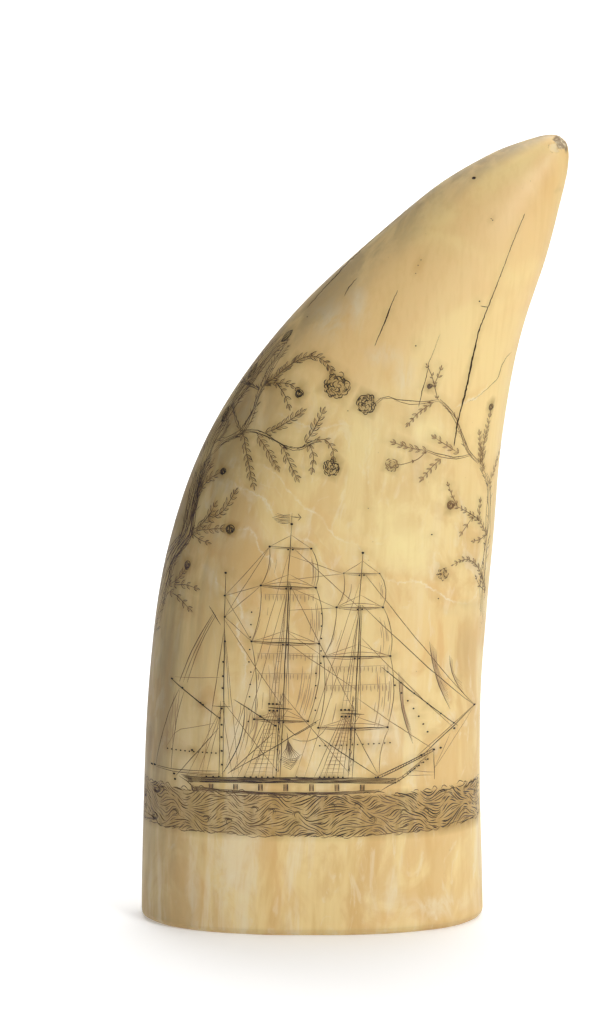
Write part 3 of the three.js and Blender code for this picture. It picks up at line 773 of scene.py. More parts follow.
# A woody stem: a bundle of lines with short hairs that lean forward on both sides.
def drawStem(points, bundle, spread, ink, hairs, hair=1.5, bold=0.2, second="inkDark"):
    path = curve(points, 1.0)
    side = np.gradient(path, axis=0)
    side /= np.hypot(*side.T)[:, None]
    normal = np.stack([-side[:, 1], side[:, 0]], -1)
    for k in range(bundle):
        offset = spread * (k / max(bundle - 1, 1) - 0.5)
        trim = 0.03 if bundle < 4 else 0.12
        start = int(rng.uniform(0, trim) * len(path))
        stop = len(path) - int(rng.uniform(0, trim) * len(path))
        scratch((path + normal * offset)[start:stop], ink if k % 2 else second,
                bold * rng.uniform(0.7, 1.1), 0.11, sway=0.16, taper=0.5)
    for share in rng.uniform(0.01, 0.97, hairs):
        i = int(share * (len(path) - 1))
        lean = rng.choice([-1, 1])
        reach = hair * rng.uniform(0.5, 1.15)
        a = path[i] + normal[i] * lean * spread * rng.uniform(0.1, 0.5)
        b = a + side[i] * reach * 0.9 + normal[i] * lean * reach * 0.36
        scratch(bowed(a, b, lean * -0.1), ink if rng.uniform() < 0.6 else second, 0.15, 0.07, gap=0.9,
                sway=0, taper=0.8)


# A dark slim leaf seen edge on, filled with strokes.
def drawBlot(a, b, width, ink="inkBlack"):
    for k in range(5):
        scratch(bowed(a, b, width * (k / 4 - 0.5)), ink, 0.2, 0.12, gap=0.6, sway=0.02, taper=0.8)


# The spray on the left: woody stems, twigs, buds and two roses.
def drawLeftSpray():
    low = [(-33.6, 60.5), (-32.2, 66.5), (-30.9, 72.0), (-29.0, 78.0), (-26.3, 82.6), (-25.0, 88.1),
           (-23.5, 94.2), (-21.2, 99.2)]
    drawStem(low, 11, 2.1, "inkPlum", 96, 1.8, 0.22, "inkBrown")
    drawStem([(-25.6, 84.5), (-24.4, 89.5), (-22.8, 95.5), (-20.6, 99.8)], 4, 0.6, "inkDark", 40, 1.4, 0.17,
             "inkPlum")
    drawStem([(-21.2, 99.2), (-18.4, 102.2), (-14.7, 104.6), (-12.4, 108.4), (-10.8, 112.8), (-8.2, 118.0),
              (-3.9, 124.2)],
             4, 0.7, "inkDark", 56, 1.5, 0.16, "inkBrown")
    drawStem([(-22.6, 97.5), (-21.0, 102.0), (-18.6, 106.5), (-15.6, 111.2), (-12.4, 115.8), (-8.8, 120.4),
              (-4.8, 124.4)],
             9, 1.7, "inkPlum", 80, 1.7, 0.21, "inkBrown")
    drawStem([(-20.5, 101.5), (-18.0, 104.0), (-17.4, 107.5)], 2, 0.3, "inkBrown", 22, 1.3, 0.14)
    drawStem([(-14.8, 104.8), (-16.2, 108.0), (-16.4, 110.4)], 2, 0.2, "inkBrown", 20, 1.3, 0.14)
    drawStem([(-10.9, 113.2), (-13.4, 114.0), (-15.6, 113.8)], 2, 0.3, "inkPlum", 26, 1.2, 0.16)
    for a, b, width in (((-6.4, 122.6), (-4.0, 125.2), 0.8), ((-13.4, 114.6), (-11.4, 117.8), 0.8),
                        ((-18.9, 105.6), (-17.2, 109.0), 0.6),
                        ((-29.0, 83.4), (-28.2, 87.0), 0.7), ((-34.3, 60.2), (-33.4, 63.6), 0.8),
                        ((-32.6, 71.4), (-31.8, 74.4), 0.6)):
        drawBlot(a, b, width)
    drawTwig([(-10.4, 113.6), (-7.4, 116.2), (-4.2, 118.9), (-0.4, 120.6), (2.6, 119.8), (4.3, 117.6)], 1.5,
             step=0.8)
    drawRose(5.0, 115.0, 2.9)
    drawTwig([(-9.4, 114.6), (-7.0, 114.9), (-4.6, 114.8), (-3.2, 114.0)], 1.3)
    drawTwig([(-7.4, 114.8), (-5.8, 113.0), (-4.9, 110.6)], 1.3)
    drawBud(-2.6, 113.1, 0.9)
    drawStem([(-14.9, 104.5), (-12.2, 105.1), (-9.0, 104.2), (-6.0, 102.6), (-3.0, 102.0), (-0.4, 103.2),
              (1.2, 104.0)], 3, 0.4, "inkDark", 34, 1.1, 0.14)
    drawTwig([(1.0, 104.0), (2.8, 104.0), (4.3, 102.0), (4.4, 100.4)], 1.15, "inkBrown")
    drawRose(4.0, 98.3, 1.9)
    drawTwig([(-10.0, 104.8), (-6.6, 106.4), (-2.2, 109.4)], 1.55)
    drawTwig([(-1.4, 103.4), (0.4, 106.2), (2.2, 109.6)], 1.5)
    drawTwig([(-14.2, 104.2), (-13.4, 99.6), (-12.2, 94.4)], 1.5)
    drawTwig([(-11.4, 104.4), (-9.2, 101.4), (-7.3, 98.2)], 1.45, "inkBrown")
    drawTwig([(-6.0, 102.4), (-4.8, 99.4), (-3.2, 96.3)], 1.45)
    drawTwig([(-0.6, 103.0), (0.3, 100.6), (0.0, 98.0)], 1.35, "inkBrown")
    drawTwig([(-23.6, 91.4), (-21.6, 94.2), (-18.9, 96.2)], 1.5)
    drawBud(-18.4, 96.4, 0.75)
    drawTwig([(-25.2, 83.6), (-22.4, 85.8), (-20.2, 89.4)], 1.5)
    drawTwig([(-21.6, 86.4), (-18.6, 88.4), (-16.0, 92.4)], 1.5)
    drawTwig([(-25.2, 83.4), (-21.0, 84.6), (-17.6, 85.0)], 1.5, "inkBrown")
    drawBud(-16.9, 84.9, 1.0)
    drawTwig([(-25.0, 83.0), (-23.4, 82.2), (-21.8, 81.8)], 1.4)
    drawTwig([(-29.8, 71.8), (-27.8, 73.6), (-26.2, 76.0)], 1.45, "inkPlum")
    drawBud(-25.9, 76.6, 0.9, "inkPlum")
    drawTwig([(-28.8, 72.0), (-26.4, 72.6), (-24.2, 72.2)], 1.45, "inkPlum")
    drawTwig([(-29.6, 70.4), (-27.8, 69.8), (-25.6, 67.8)], 1.45, "inkPlum")


# The lighter spray on the right.
def drawRightSpray():
    drawStem([(35.7, 62.0), (35.5, 70.3), (36.0, 76.7), (36.6, 83.0), (36.9, 89.4), (36.6, 93.8),
              (34.6, 98.0)], 4, 0.8, "inkBrown", 50, 1.3, 0.16)
    drawStem([(34.6, 98.0), (32.4, 100.6), (30.9, 104.2), (30.1, 107.2), (28.4, 109.8), (26.3, 111.9)], 3,
             0.45, "inkRust", 36, 1.0, 0.15, "inkBrown")
    drawStem([(26.2, 111.9), (22.6, 111.5), (18.2, 111.9), (15.9, 112.9), (14.1, 112.4), (12.9, 111.3)], 2,
             0.35, "inkRust", 12, 0.7, 0.13, "inkBrown")
    drawRose(11.1, 111.4, 2.2, "inkDark")
    drawTwig([(25.9, 112.2), (25.3, 115.0), (24.6, 117.2), (23.8, 119.0)], 0.8, "inkBrown", step=1.6)
    drawTwig([(25.2, 115.2), (26.2, 117.2), (26.6, 118.4)], 0.9, "inkRust", step=0.9)
    drawBud(24.3, 114.8, 0.5, "inkBrown")
    drawTwig([(25.0, 111.4), (22.2, 109.6), (19.9, 107.2)], 1.05, "inkRust")
    drawStem([(33.2, 100.0), (29.8, 99.5), (27.0, 100.3), (23.6, 101.6)], 2, 0.3, "inkRust", 10, 0.7, 0.13,
             "inkBrown")
    drawTwig([(23.6, 101.6), (20.4, 102.2), (17.0, 103.4)], 1.2, "inkRust")
    drawTwig([(30.4, 100.6), (28.0, 102.2), (25.4, 104.2)], 1.2, "inkRust")
    drawTwig([(26.6, 99.6), (24.8, 98.0), (22.8, 95.8)], 1.2, "inkRust")
    drawTwig([(23.6, 101.4), (21.6, 99.8), (18.8, 98.9), (17.6, 98.9)], 0.5, "inkRust", step=2.5)
    drawRose(16.4, 98.8, 1.5, "inkRust", 20, 0.9)
    drawTwig([(35.4, 95.6), (35.6, 101.0), (36.9, 107.6)], 1.25, "inkBrown")
    drawBud(37.2, 109.4, 0.7, "inkBrown")
    drawTwig([(34.9, 97.6), (34.9, 101.0), (34.7, 104.2)], 1.1, "inkRust")
    drawTwig([(36.9, 93.0), (38.2, 96.6), (39.4, 100.0)], 1.1, "inkBrown")
    drawTwig([(36.6, 81.8), (34.8, 85.6), (32.2, 88.0), (29.8, 89.6)], 1.1, "inkBrown")
    drawBud(28.8, 89.8, 0.9, "inkRust")
    drawTwig([(30.0, 89.8), (29.0, 92.0), (28.2, 94.2)], 0.8, "inkRust")
    drawTwig([(34.6, 85.6), (34.8, 87.8), (35.0, 89.8)], 1.05, "inkBrown")
    drawTwig([(33.4, 86.8), (32.2, 85.2), (31.0, 83.6)], 1.0, "inkRust")
    drawTwig([(36.0, 82.2), (35.0, 81.6), (33.6, 81.6)], 1.0, "inkBrown")
    drawTwig([(36.3, 69.9), (35.5, 73.2), (34.0, 76.6), (31.8, 78.0), (29.5, 77.3)], 1.0, "inkBrown",
             step=0.75)
    drawTwig([(36.2, 70.0), (35.0, 71.6), (34.2, 73.6)], 1.0, "inkBrown")
    drawRose(27.1, 75.5, 1.5, "inkBrown", 22)


# Age cracks: ragged V cuts, wide and black in the middle of their run.
cracks = (
    {"path": ((44.0, 149.8), (41.3, 143.4), (39.6, 138.8), (37.9, 134.4), (36.2, 130.2), (34.4, 125.6),
              (33.1, 119.8), (31.9, 114.0), (31.0, 110.4), (30.0, 106.6), (29.4, 102.1)),
     "width": 0.34, "depth": 0.42, "heavy": 0.7},
    {"path": ((19.2, 149.8), (16.0, 147.0), (11.9, 142.9), (7.0, 138.2), (2.6, 133.6), (-1.0, 129.6)),
     "width": 0.45, "depth": 0.4, "heavy": 0.5},
    {"path": ((17.7, 134.4), (16.0, 130.6), (14.7, 127.2), (12.9, 123.1)), "width": 0.24, "depth": 0.25,
     "heavy": 0.5},
    {"path": ((9.4, 136.4), (7.6, 134.4), (6.6, 132.6)), "width": 0.18, "depth": 0.2, "heavy": 0.5},
    {"path": ((26.5, 125.6), (24.9, 121.6), (24.1, 119.6), (23.6, 116.8), (22.8, 114.3), (22.0, 110.6)),
     "width": 0.14, "depth": 0.16, "heavy": 0.7},
    {"path": ((41.4, 120.4), (40.4, 119.6), (39.3, 117.8), (38.6, 115.4), (36.0, 113.2), (34.0, 111.8),
              (32.2, 111.1)), "width": 0.13, "depth": 0.14, "heavy": 0.3},
)


# Cracks wander a little and swell where they are heaviest, and rust and dirt have left specks.
def drawCracks():
    for k, crack in enumerate(cracks):
        p = resample(crack["path"], 0.55)
        share = np.linspace(0, 1, len(p))
        ragged = np.random.default_rng(40 + k)
        p[1:-1] += ragged.uniform(-0.06, 0.06, (len(p) - 2, 2))
        swell = np.exp(-((share - crack["heavy"]) / 0.3)**2)
        half = crack["width"] / 2 * (0.3 + 0.8 * swell) * ragged.uniform(0.7, 1.25, len(p))
        half[[0, -1]] *= 0.3
        turn, along = seenPlace(p[:, 0], p[:, 1])
        addStroke(turn, along, half, crack["depth"], "crackFill")
    for x, z, radius in ((33.5, 156.8, 0.4), (37.3, 148.6, 0.13), (34.6, 132.0, 0.16), (21.4, 123.2, 0.16),
                         (51.0, 154.5, 0.2), (-1.0, 128.0, 0.12), (24.8, 84.0, 0.16), (26.2, 70.4, 0.14),
                         (11.6, 90.0, 0.1), (7.4, 110.0, 0.1)):
        peck(x, z, radius, "crackFill")
    scratch([(34.9, 131.0), (35.6, 130.8), (36.3, 130.7)], "crackFill", 0.13, 0.1, gap=0.5, sway=0)
    for x, z in ((21.9, 139.4), (22.5, 140.5), (21.4, 137.8), (37.0, 148.9)):
        peck(x, z, 0.12, "inkRust")


# All of the engraving, in the order in which later strokes lie over earlier ones.
def drawPicture():
    for mast in (ship["main"], ship["fore"]):
        yards = mast["yards"]
        for k in range(1, len(yards)):
            drawSquareSail(mast, yards[k - 1], yards[k], (13, 8, 5)[k - 1])
        drawReefs(mast, yards[0], yards[1], (0.86, 0.6))
        drawReefs(mast, yards[1], yards[2], (0.86,) if mast is ship["main"] else ())
    drawRunning()
    for mast in (ship["main"], ship["fore"]):
        drawMast(mast)
    drawMizzen()
    drawTrysail()
    drawHeadSails()
    drawPennant()
    drawHull()
    drawSea()
    drawLeftSpray()
    drawRightSpray()
    drawCracks()


drawPicture()
print("strokes drawn:", len(strokes), "with", sum(len(s["turn"]) for s in strokes), "stations")


# Every stroke's stations, moved from its anchors by its offsets, and its two edges, in chart millimetres.
def layOut():
    counts = np.array([len(s["turn"]) for s in strokes])
    turn = np.concatenate([s["turn"] for s in strokes])
    along = np.concatenate([s["along"] for s in strokes])
    offset = np.concatenate([s["offset"] for s in strokes])
    half = np.concatenate([s["half"] for s in strokes])
    owner = np.repeat(np.arange(len(strokes)), counts)

    def frameAt(turn, along):
        over, up, _ = wallSlopes(turn, along)
        overUnit = over / np.linalg.norm(over, axis=1, keepdims=True)
        lean = (up * overUnit).sum(1)
        rise = np.linalg.norm(up - lean[:, None] * overUnit, axis=1)
        return np.linalg.norm(over, axis=1), lean, rise

    def shift(turn, along, dx, dz):  # millimetres over and up, as changes of turn and share
        reach, lean, rise = frameAt(turn, along)
        dAlong = dz / rise
        return (dx - lean * dAlong) / reach, dAlong

    dTurn, dAlong = shift(turn, along, offset[:, 0], offset[:, 1])
    turn, along = turn + dTurn, along + dAlong
    # directions within each stroke, in true millimetres
    nextOne = np.minimum(np.arange(len(turn)) + 1, len(turn) - 1)
    lastOne = np.maximum(np.arange(len(turn)) - 1, 0)
    nextOne = np.where(owner[nextOne] == owner, nextOne, np.arange(len(turn)))
    lastOne = np.where(owner[lastOne] == owner, lastOne, np.arange(len(turn)))
    reach, lean, rise = frameAt(turn, along)
    stepTurn, stepAlong = turn[nextOne] - turn[lastOne], along[nextOne] - along[lastOne]
    dx, dz = stepTurn * reach + stepAlong * lean, stepAlong * rise
    size = np.maximum(np.hypot(dx, dz), 1e-9)
    sideX, sideZ = -dz / size * half, dx / size * half
    sideTurn, sideAlong = shift(turn, along, sideX, sideZ)
    middle = np.stack([turn * chart["turn"], along * chart["along"]], -1)
    side = np.stack([sideTurn * chart["turn"], sideAlong * chart["along"]], -1)
    return counts, owner, middle, side, half


# Soft marks of the ivory, as paths seen from the front with a width in millimetres.
veins = (
    (((-14.2, 100.0), (-12.4, 98.8), (-9.6, 98.2), (-7.6, 97.2), (-5.8, 95.2), (-4.4, 92.8), (-2.0, 90.6),
      (0.4, 89.4), (2.6, 87.4), (4.6, 84.2), (8.0, 83.2), (10.2, 81.6), (12.4, 78.4), (14.5, 76.2)), 0.62),
    (((-4.3, 84.4), (-1.2, 83.4), (1.2, 81.8), (2.2, 78.8), (4.0, 76.6), (7.2, 76.4), (10.3, 76.8)), 0.62),
    (((14.5, 76.0), (17.5, 74.3), (21.6, 74.4), (24.5, 72.8), (27.2, 70.8), (29.9, 69.2), (32.7, 68.6),
      (34.7, 70.4)), 0.8),
    (((-17.3, 94.6), (-15.0, 93.7), (-13.0, 93.2), (-11.2, 92.4), (-9.2, 91.3), (-8.4, 89.2), (-6.6, 86.6)),
     0.75),
    (((-16.4, 84.4), (-13.4, 85.6), (-11.6, 84.2), (-10.6, 80.6), (-8.0, 79.0), (-7.6, 76.0)), 0.9),
    (((-20.4, 76.6), (-19.6, 73.4), (-16.0, 71.2), (-14.6, 68.0), (-15.6, 63.2), (-13.6, 58.2),
      (-14.4, 52.6)), 1.0),
    (((31.0, 110.5), (32.6, 111.3), (34.4, 112.2), (35.6, 113.2)), 0.9),
    (((-6.4, 108.8), (-2.0, 106.8), (1.6, 106.4), (6.6, 107.4)), 0.6),
)
# Soft ovals of tone: each kind's middles, radii and strength.
blobs = {
    # a pale yellow patch of the ivory, brightened with painted sheen where the key light falls strongest
    "yellowAndSheen": ((18.6, 83.0, 6.4, 5.0, 1.0), (21.4, 79.6, 3.6, 3.2, 0.9), (15.6, 88.6, 6.0, 5.0, 0.8),
        (24.0, 92.0, 5.0, 5.0, 0.45), (12.0, 103.0, 8.0, 8.0, 0.6), (23.6, 105.6, 4.0, 3.6, 0.9),
        (6.0, 98.0, 7.0, 10.0, 0.35)),
    "pale": ((-17.6, 93.4, 1.8, 1.6, 0.9), (-18.4, 83.6, 2.0, 1.8, 0.8), (-12.4, 84.8, 2.4, 1.6, 0.8),
        (-20.2, 74.6, 1.8, 3.2, 0.8), (-15.2, 71.2, 2.4, 2.6, 0.9), (-14.4, 66.8, 2.0, 3.0, 0.8),
        (-7.6, 79.8, 1.6, 2.4, 0.9), (-3.0, 85.2, 2.0, 1.2, 0.6), (-6.6, 58.0, 2.4, 8.0, 0.7),
        (3.4, 62.0, 2.0, 3.6, 0.7), (-12.6, 52.0, 2.6, 6.0, 0.6), (-16.4, 41.0, 2.4, 7.0, 0.8),
        (-21.6, 46.0, 1.6, 5.0, 0.6), (13.6, 42.0, 3.0, 4.6, 0.9), (-3.0, 37.4, 4.4, 3.4, 0.8),
        (6.6, 36.6, 2.4, 2.6, 0.6), (25.0, 5.0, 9.0, 2.2, 0.7), (15.4, 7.0, 3.4, 2.4, 0.6),
        (-17.0, 9.0, 4.4, 8.0, 0.55), (-25.0, 8.0, 1.4, 7.0, 0.7), (-19.6, 12.0, 1.1, 6.0, 0.7),
        (9.4, 131.0, 1.5, 4.0, 0.9), (14.6, 121.4, 3.4, 1.6, 0.7), (19.0, 117.0, 1.8, 3.6, 0.6),
        (3.6, 128.4, 3.4, 3.4, 0.7), (-12.0, 108.0, 3.0, 3.0, 0.4)),
    "amber": ((47.8, 156.4, 2.6, 4.4, 1.0), (44.4, 152.0, 3.0, 2.8, 0.8), (7.4, 127.6, 1.6, 4.4, 0.5),
        (11.9, 122.6, 2.4, 1.7, 0.55), (15.6, 116.4, 1.6, 4.2, 0.6), (22.0, 139.4, 0.7, 2.0, 0.7),
        (33.6, 73.4, 3.0, 1.4, 0.4), (6.0, 80.0, 3.6, 3.0, 0.5), (-6.0, 92.0, 3.0, 4.0, 0.4),
        (30.5, 109.8, 1.6, 5.0, 0.35), (-21.0, 79.0, 3.0, 3.0, 0.8), (-22.8, 12.0, 1.2, 8.0, 0.8),
        (-27.6, 12.0, 1.2, 7.0, 0.6), (-7.6, 12.0, 2.4, 9.0, 0.5), (-1.6, 50.0, 4.0, 9.0, 0.45),
        (9.6, 55.0, 5.0, 9.0, 0.45), (16.4, 3.9, 3.0, 1.1, 1.0), (21.6, 3.7, 1.6, 0.9, 0.8),
        (-15.9, 4.7, 1.0, 0.9, 1.0), (3.0, 45.0, 3.0, 6.0, 0.4), (-22.6, 60.0, 4.0, 12.0, 0.7),
        (-11.0, 67.0, 7.0, 10.0, 0.55), (23.0, 62.0, 9.0, 9.0, 0.95), (20.2, 12.0, 1.2, 6.0, 0.4)),
    # grey patches of the ivory; the tall ones along the left and right edges are partly painted shade
    "grey": ((30.6, 68.0, 3.0, 0.7, 0.6), (34.0, 67.4, 1.4, 0.9, 0.6), (-28.5, 55.0, 4.0, 26.0, 0.45),
        (-25.0, 70.0, 3.4, 5.0, 0.5), (32.0, 59.0, 3.0, 8.0, 0.34), (-21.6, 68.0, 2.0, 6.0, 0.4),
        (-15.9, 4.7, 0.6, 0.5, 0.9), (-19.7, 2.6, 0.35, 0.35, 1.0), (-25.9, 1.2, 0.9, 0.6, 1.0),
        (-33.4, 11.6, 1.6, 4.0, 0.6), (-6.0, 2.0, 1.4, 1.8, 0.35), (36.6, 10.0, 1.4, 9.0, 0.4),
        (51.0, 154.0, 0.8, 0.35, 0.5), (8.4, 137.0, 3.0, 5.0, 0.2)),
}


# The distance to the nearest vein, with a sign for its side, and how much that vein counts there.
def veinFields(x, z):
    side, near, weight = np.full(x.shape, 9.0), np.full(x.shape, 9.0), np.zeros(x.shape)
    sway = ripple(61, 5, 0.5, 1.6)
    x = x + 0.5 * rippleAt(sway, x, z)
    z = z + 0.5 * rippleAt(sway, z + 3, x)
    for path, width in veins:
        p = curve(path, 1.0)
        for k in range(len(p) - 1):
            (ax, az), (dx, dz) = p[k], p[k + 1] - p[k]
            t = np.clip(((x - ax) * dx + (z - az) * dz) / (dx * dx + dz * dz), 0, 1)
            away = np.hypot(x - ax - t * dx, z - az - t * dz)
            closer = away < near
            near = np.where(closer, away, near)
            side = np.where(closer, away * np.sign((x - ax) * dz - (z - az) * dx), side)
            fade = np.sin(np.pi * np.clip((k + t + 0.6) / len(p), 0, 1))**0.4
            weight = np.where(closer, width * fade, weight)
    return np.clip(side, -3, 3), weight * np.clip(2.2 - near, 0, 1)


# The strongest of one kind's soft ovals at each place: a bell curve of the distance in radii.
def blobField(name, x, z):
    out = np.zeros(x.shape)
    for middleX, middleZ, radiusX, radiusZ, strength in blobs[name]:
        away = -((x - middleX) / radiusX)**2 - ((z - middleZ) / radiusZ)**2
        out = np.maximum(out, strength * np.exp(away))
    return out


# The plain net of the wall: where its rows grow closer, how far round it is fine, and the cells that
# a stroke fills.
net = {"bend": 0.885, "face": 1.8, "cell": 0.42, "cellsAcross": 100003}


# One number for the cell of the chart that a point lies in.
def cellNumber(p):
    cells = np.round(p / net["cell"]).astype(int)
    return cells[:, 0] * net["cellsAcross"] + cells[:, 1]


# A background of points over the whole chart, denser on the engraved face,
# and left out where strokes already bring their own.
def background(strokePoints):
    bend, face = net["bend"], net["face"]
    rows = np.concatenate([np.linspace(alongStart, bend, 80), np.linspace(bend, chart["tipStart"], 13)[1:]])
    back = np.linspace(face, np.pi, 13)[1:]
    turns = np.concatenate([np.linspace(-face, face, 48), -back[::-1], back])
    grid = np.stack(np.meshgrid(turns, rows[1:-1], indexing="ij"), -1).reshape(-1, 2)
    inner = grid[np.abs(grid[:, 0]) < np.pi - 1e-6] * (chart["turn"], chart["along"])
    inner = inner[~np.isin(cellNumber(inner), np.unique(cellNumber(strokePoints)))]
    ringTurns = np.linspace(-np.pi, np.pi, ringCount + 1)
    edges = [np.stack([ringTurns, np.full(ringCount + 1, row)], -1) for row in (rows[0], rows[-1])]
    sides = [np.stack([np.full(len(rows) - 2, side), rows[1:-1]], -1) for side in (-np.pi, np.pi)]
    return np.concatenate([inner, np.concatenate(edges + sides) * (chart["turn"], chart["along"])])


ringCount = 112
tipRings = 22
alongStart = tooth["edgeRadius"] / (3 * tooth["spineRise"][1] * tooth["height"])


# The chart bulged a little, so that the points along its straight edges lie on a rounded outline
# and all become corners of it, and the same undone.
def bulge(p, way=1):
    middle = chart["along"] * (alongStart + chart["tipStart"]) / 2
    reach = np.array([np.pi * chart["turn"], chart["along"] * chart["tipStart"] - middle])
    flat = p - (0, middle)
    out = flat
    for _ in range(8 if way < 0 else 1):
        swell = 1 + 0.01 * (1 - (out[:, ::-1] / reach[::-1])**2)
        out = flat / swell if way < 0 else flat * swell
    return out + (0, middle)


# Twice the signed area of the triangles a, b, c.
def turned(a, b, c):
    ab, ac = b - a, c - a
    return ab[..., 0] * ac[..., 1] - ab[..., 1] * ac[..., 0]


# The engraved wall: all strokes are cut into one triangulated sheet. A deep stroke has a middle line
# that is sunk, which makes it a real V groove, and a faint one lies flush.
def engravedWall():
    counts, owner, middle, side, half = layOut()
    n = len(middle)
    rails = np.concatenate([middle + side, middle, middle - side])
    starts = np.concatenate([[0], np.cumsum(counts)[:-1]])
    spans = np.setdiff1d(np.arange(n), starts + counts - 1)
    strokeDepth = np.array([s["depth"] for s in strokes])
    strokeInk = np.array([s["ink"] for s in strokes])
    deep = strokeDepth[owner[spans]] > hand["flush"]
    v, f = spans[deep], spans[~deep]
    quads = np.concatenate([np.stack([v, v + n, v + n + 1, v + 1], -1),
                            np.stack([v + n, v + 2 * n, v + 2 * n + 1, v + n + 1], -1),
                            np.stack([f, f + 2 * n, f + 2 * n + 1, f + 1], -1)])
    quadOwner = np.concatenate([owner[v], owner[v], owner[f]])
    a, b, c, d = (rails[quads[:, k]] for k in range(4))
    bends = np.stack([turned(a, b, c), turned(b, c, d), turned(c, d, a), turned(d, a, b)])
    inside = np.stack([a, b, c, d])[..., 1].max(0) < chart["tipStart"] * chart["along"] - 0.3
    sound = (bends.min(0) > 1e-5) & inside
    quads, quadOwner = quads[sound], quadOwner[sound]
    used, quads = np.unique(quads, return_inverse=True)
    quads = quads.reshape(-1, 4)
    stations = rails[used]
    given = np.concatenate([stations, background(stations)])
    out = delaunay_2d_cdt(bulge(given), [], quads.tolist(), 0, 1e-5, True)
    flat = bulge(np.array(out[0], float), -1)
    source = np.array([ids[0] if ids else -1 for ids in out[3]])
    flat[source >= 0] = given[source[source >= 0]]
    faces = np.array(out[2])
    # of the strokes that a triangle lies in, the deepest gives its ink
    lengths = np.array([len(ids) for ids in out[5]])
    triangle = np.repeat(np.arange(len(faces)), lengths)
    quad = np.array([one for ids in out[5] for one in ids], int)
    centre = flat[faces].mean(1)[triangle]
    corner = [stations[quads[quad, k]] for k in range(4)]
    within = np.stack([turned(corner[k], corner[(k + 1) % 4], centre) for k in range(4)]).min(0) > -1e-6
    triangle, quad = triangle[within], quad[within]
    order = np.argsort(strokeDepth[quadOwner[quad]] + 1e-6 * quadOwner[quad], kind="stable")
    source = np.full(len(faces), -1)
    source[triangle[order]] = quad[order]
    held = quadOwner[np.maximum(source, 0)]
    faceDepth = np.where(source >= 0, strokeDepth[held], 0.0)
    faceDepth[faceDepth <= hand["flush"]] = 0
    faceInk = np.where(source >= 0, strokeInk[held] + 1, 0)
    depth = np.full(len(flat), 9.0)
    np.minimum.at(depth, faces.ravel(), np.repeat(faceDepth, 3))
    turn, along = flat[:, 0] / chart["turn"], flat[:, 1] / chart["along"]
    p = wall(turn, along)
    normal = wallSlopes(turn, along)[2]
    area = turned(*(flat[faces[:, k]] for k in range(3)))
    faces = np.where((area >= 0)[:, None], faces, faces[:, ::-1])
    return p - normal * depth[:, None], normal, turn, along, faces, faceInk, middle, half


# A grid of rings closed round the turn, as quads split into triangles.
def ringFaces(rings, count, first):
    i = np.arange(count)
    j = (i + 1) % count
    rows = (np.arange(rings - 1) * count)[:, None]
    a, b = rows + i, rows + j
    lower = np.stack([a, b, b + count], -1)
    upper = np.stack([a, b + count, a + count], -1)
    return np.concatenate([lower.reshape(-1, 3), upper.reshape(-1, 3)]) + first


# How much ink lies round each place: the share of each half millimetre cell that strokes cover,
# blurred, and read between the cells.
def inkHaze(turn, along, middle, half):
    cell = 0.5
    xs, zs = np.arange(-90, 90.1, cell), np.arange(0, 180.1, cell)
    haze = np.histogram2d(middle[:, 0], middle[:, 1], bins=[xs, zs], weights=1.4 * half)[0] / cell**2
    for _ in range(3):
        haze = (haze + np.roll(haze, 1, 0) + np.roll(haze, -1, 0) + np.roll(haze, 1, 1) + np.roll(haze, -1,
                                                                                                  1)) / 5
    i = np.clip((turn * chart["turn"] - xs[0]) / cell - 0.5, 0, haze.shape[0] - 1.001)
    j = np.clip((along * chart["along"] - zs[0]) / cell - 0.5, 0, haze.shape[1] - 1.001)
    a, b = i.astype(int), j.astype(int)
    u, v = i - a, j - b
    low = haze[a, b] * (1 - u) + haze[a + 1, b] * u
    high = haze[a, b + 1] * (1 - u) + haze[a + 1, b + 1] * u
    return np.clip(1.3 * (low * (1 - v) + high * v), 0, 1)


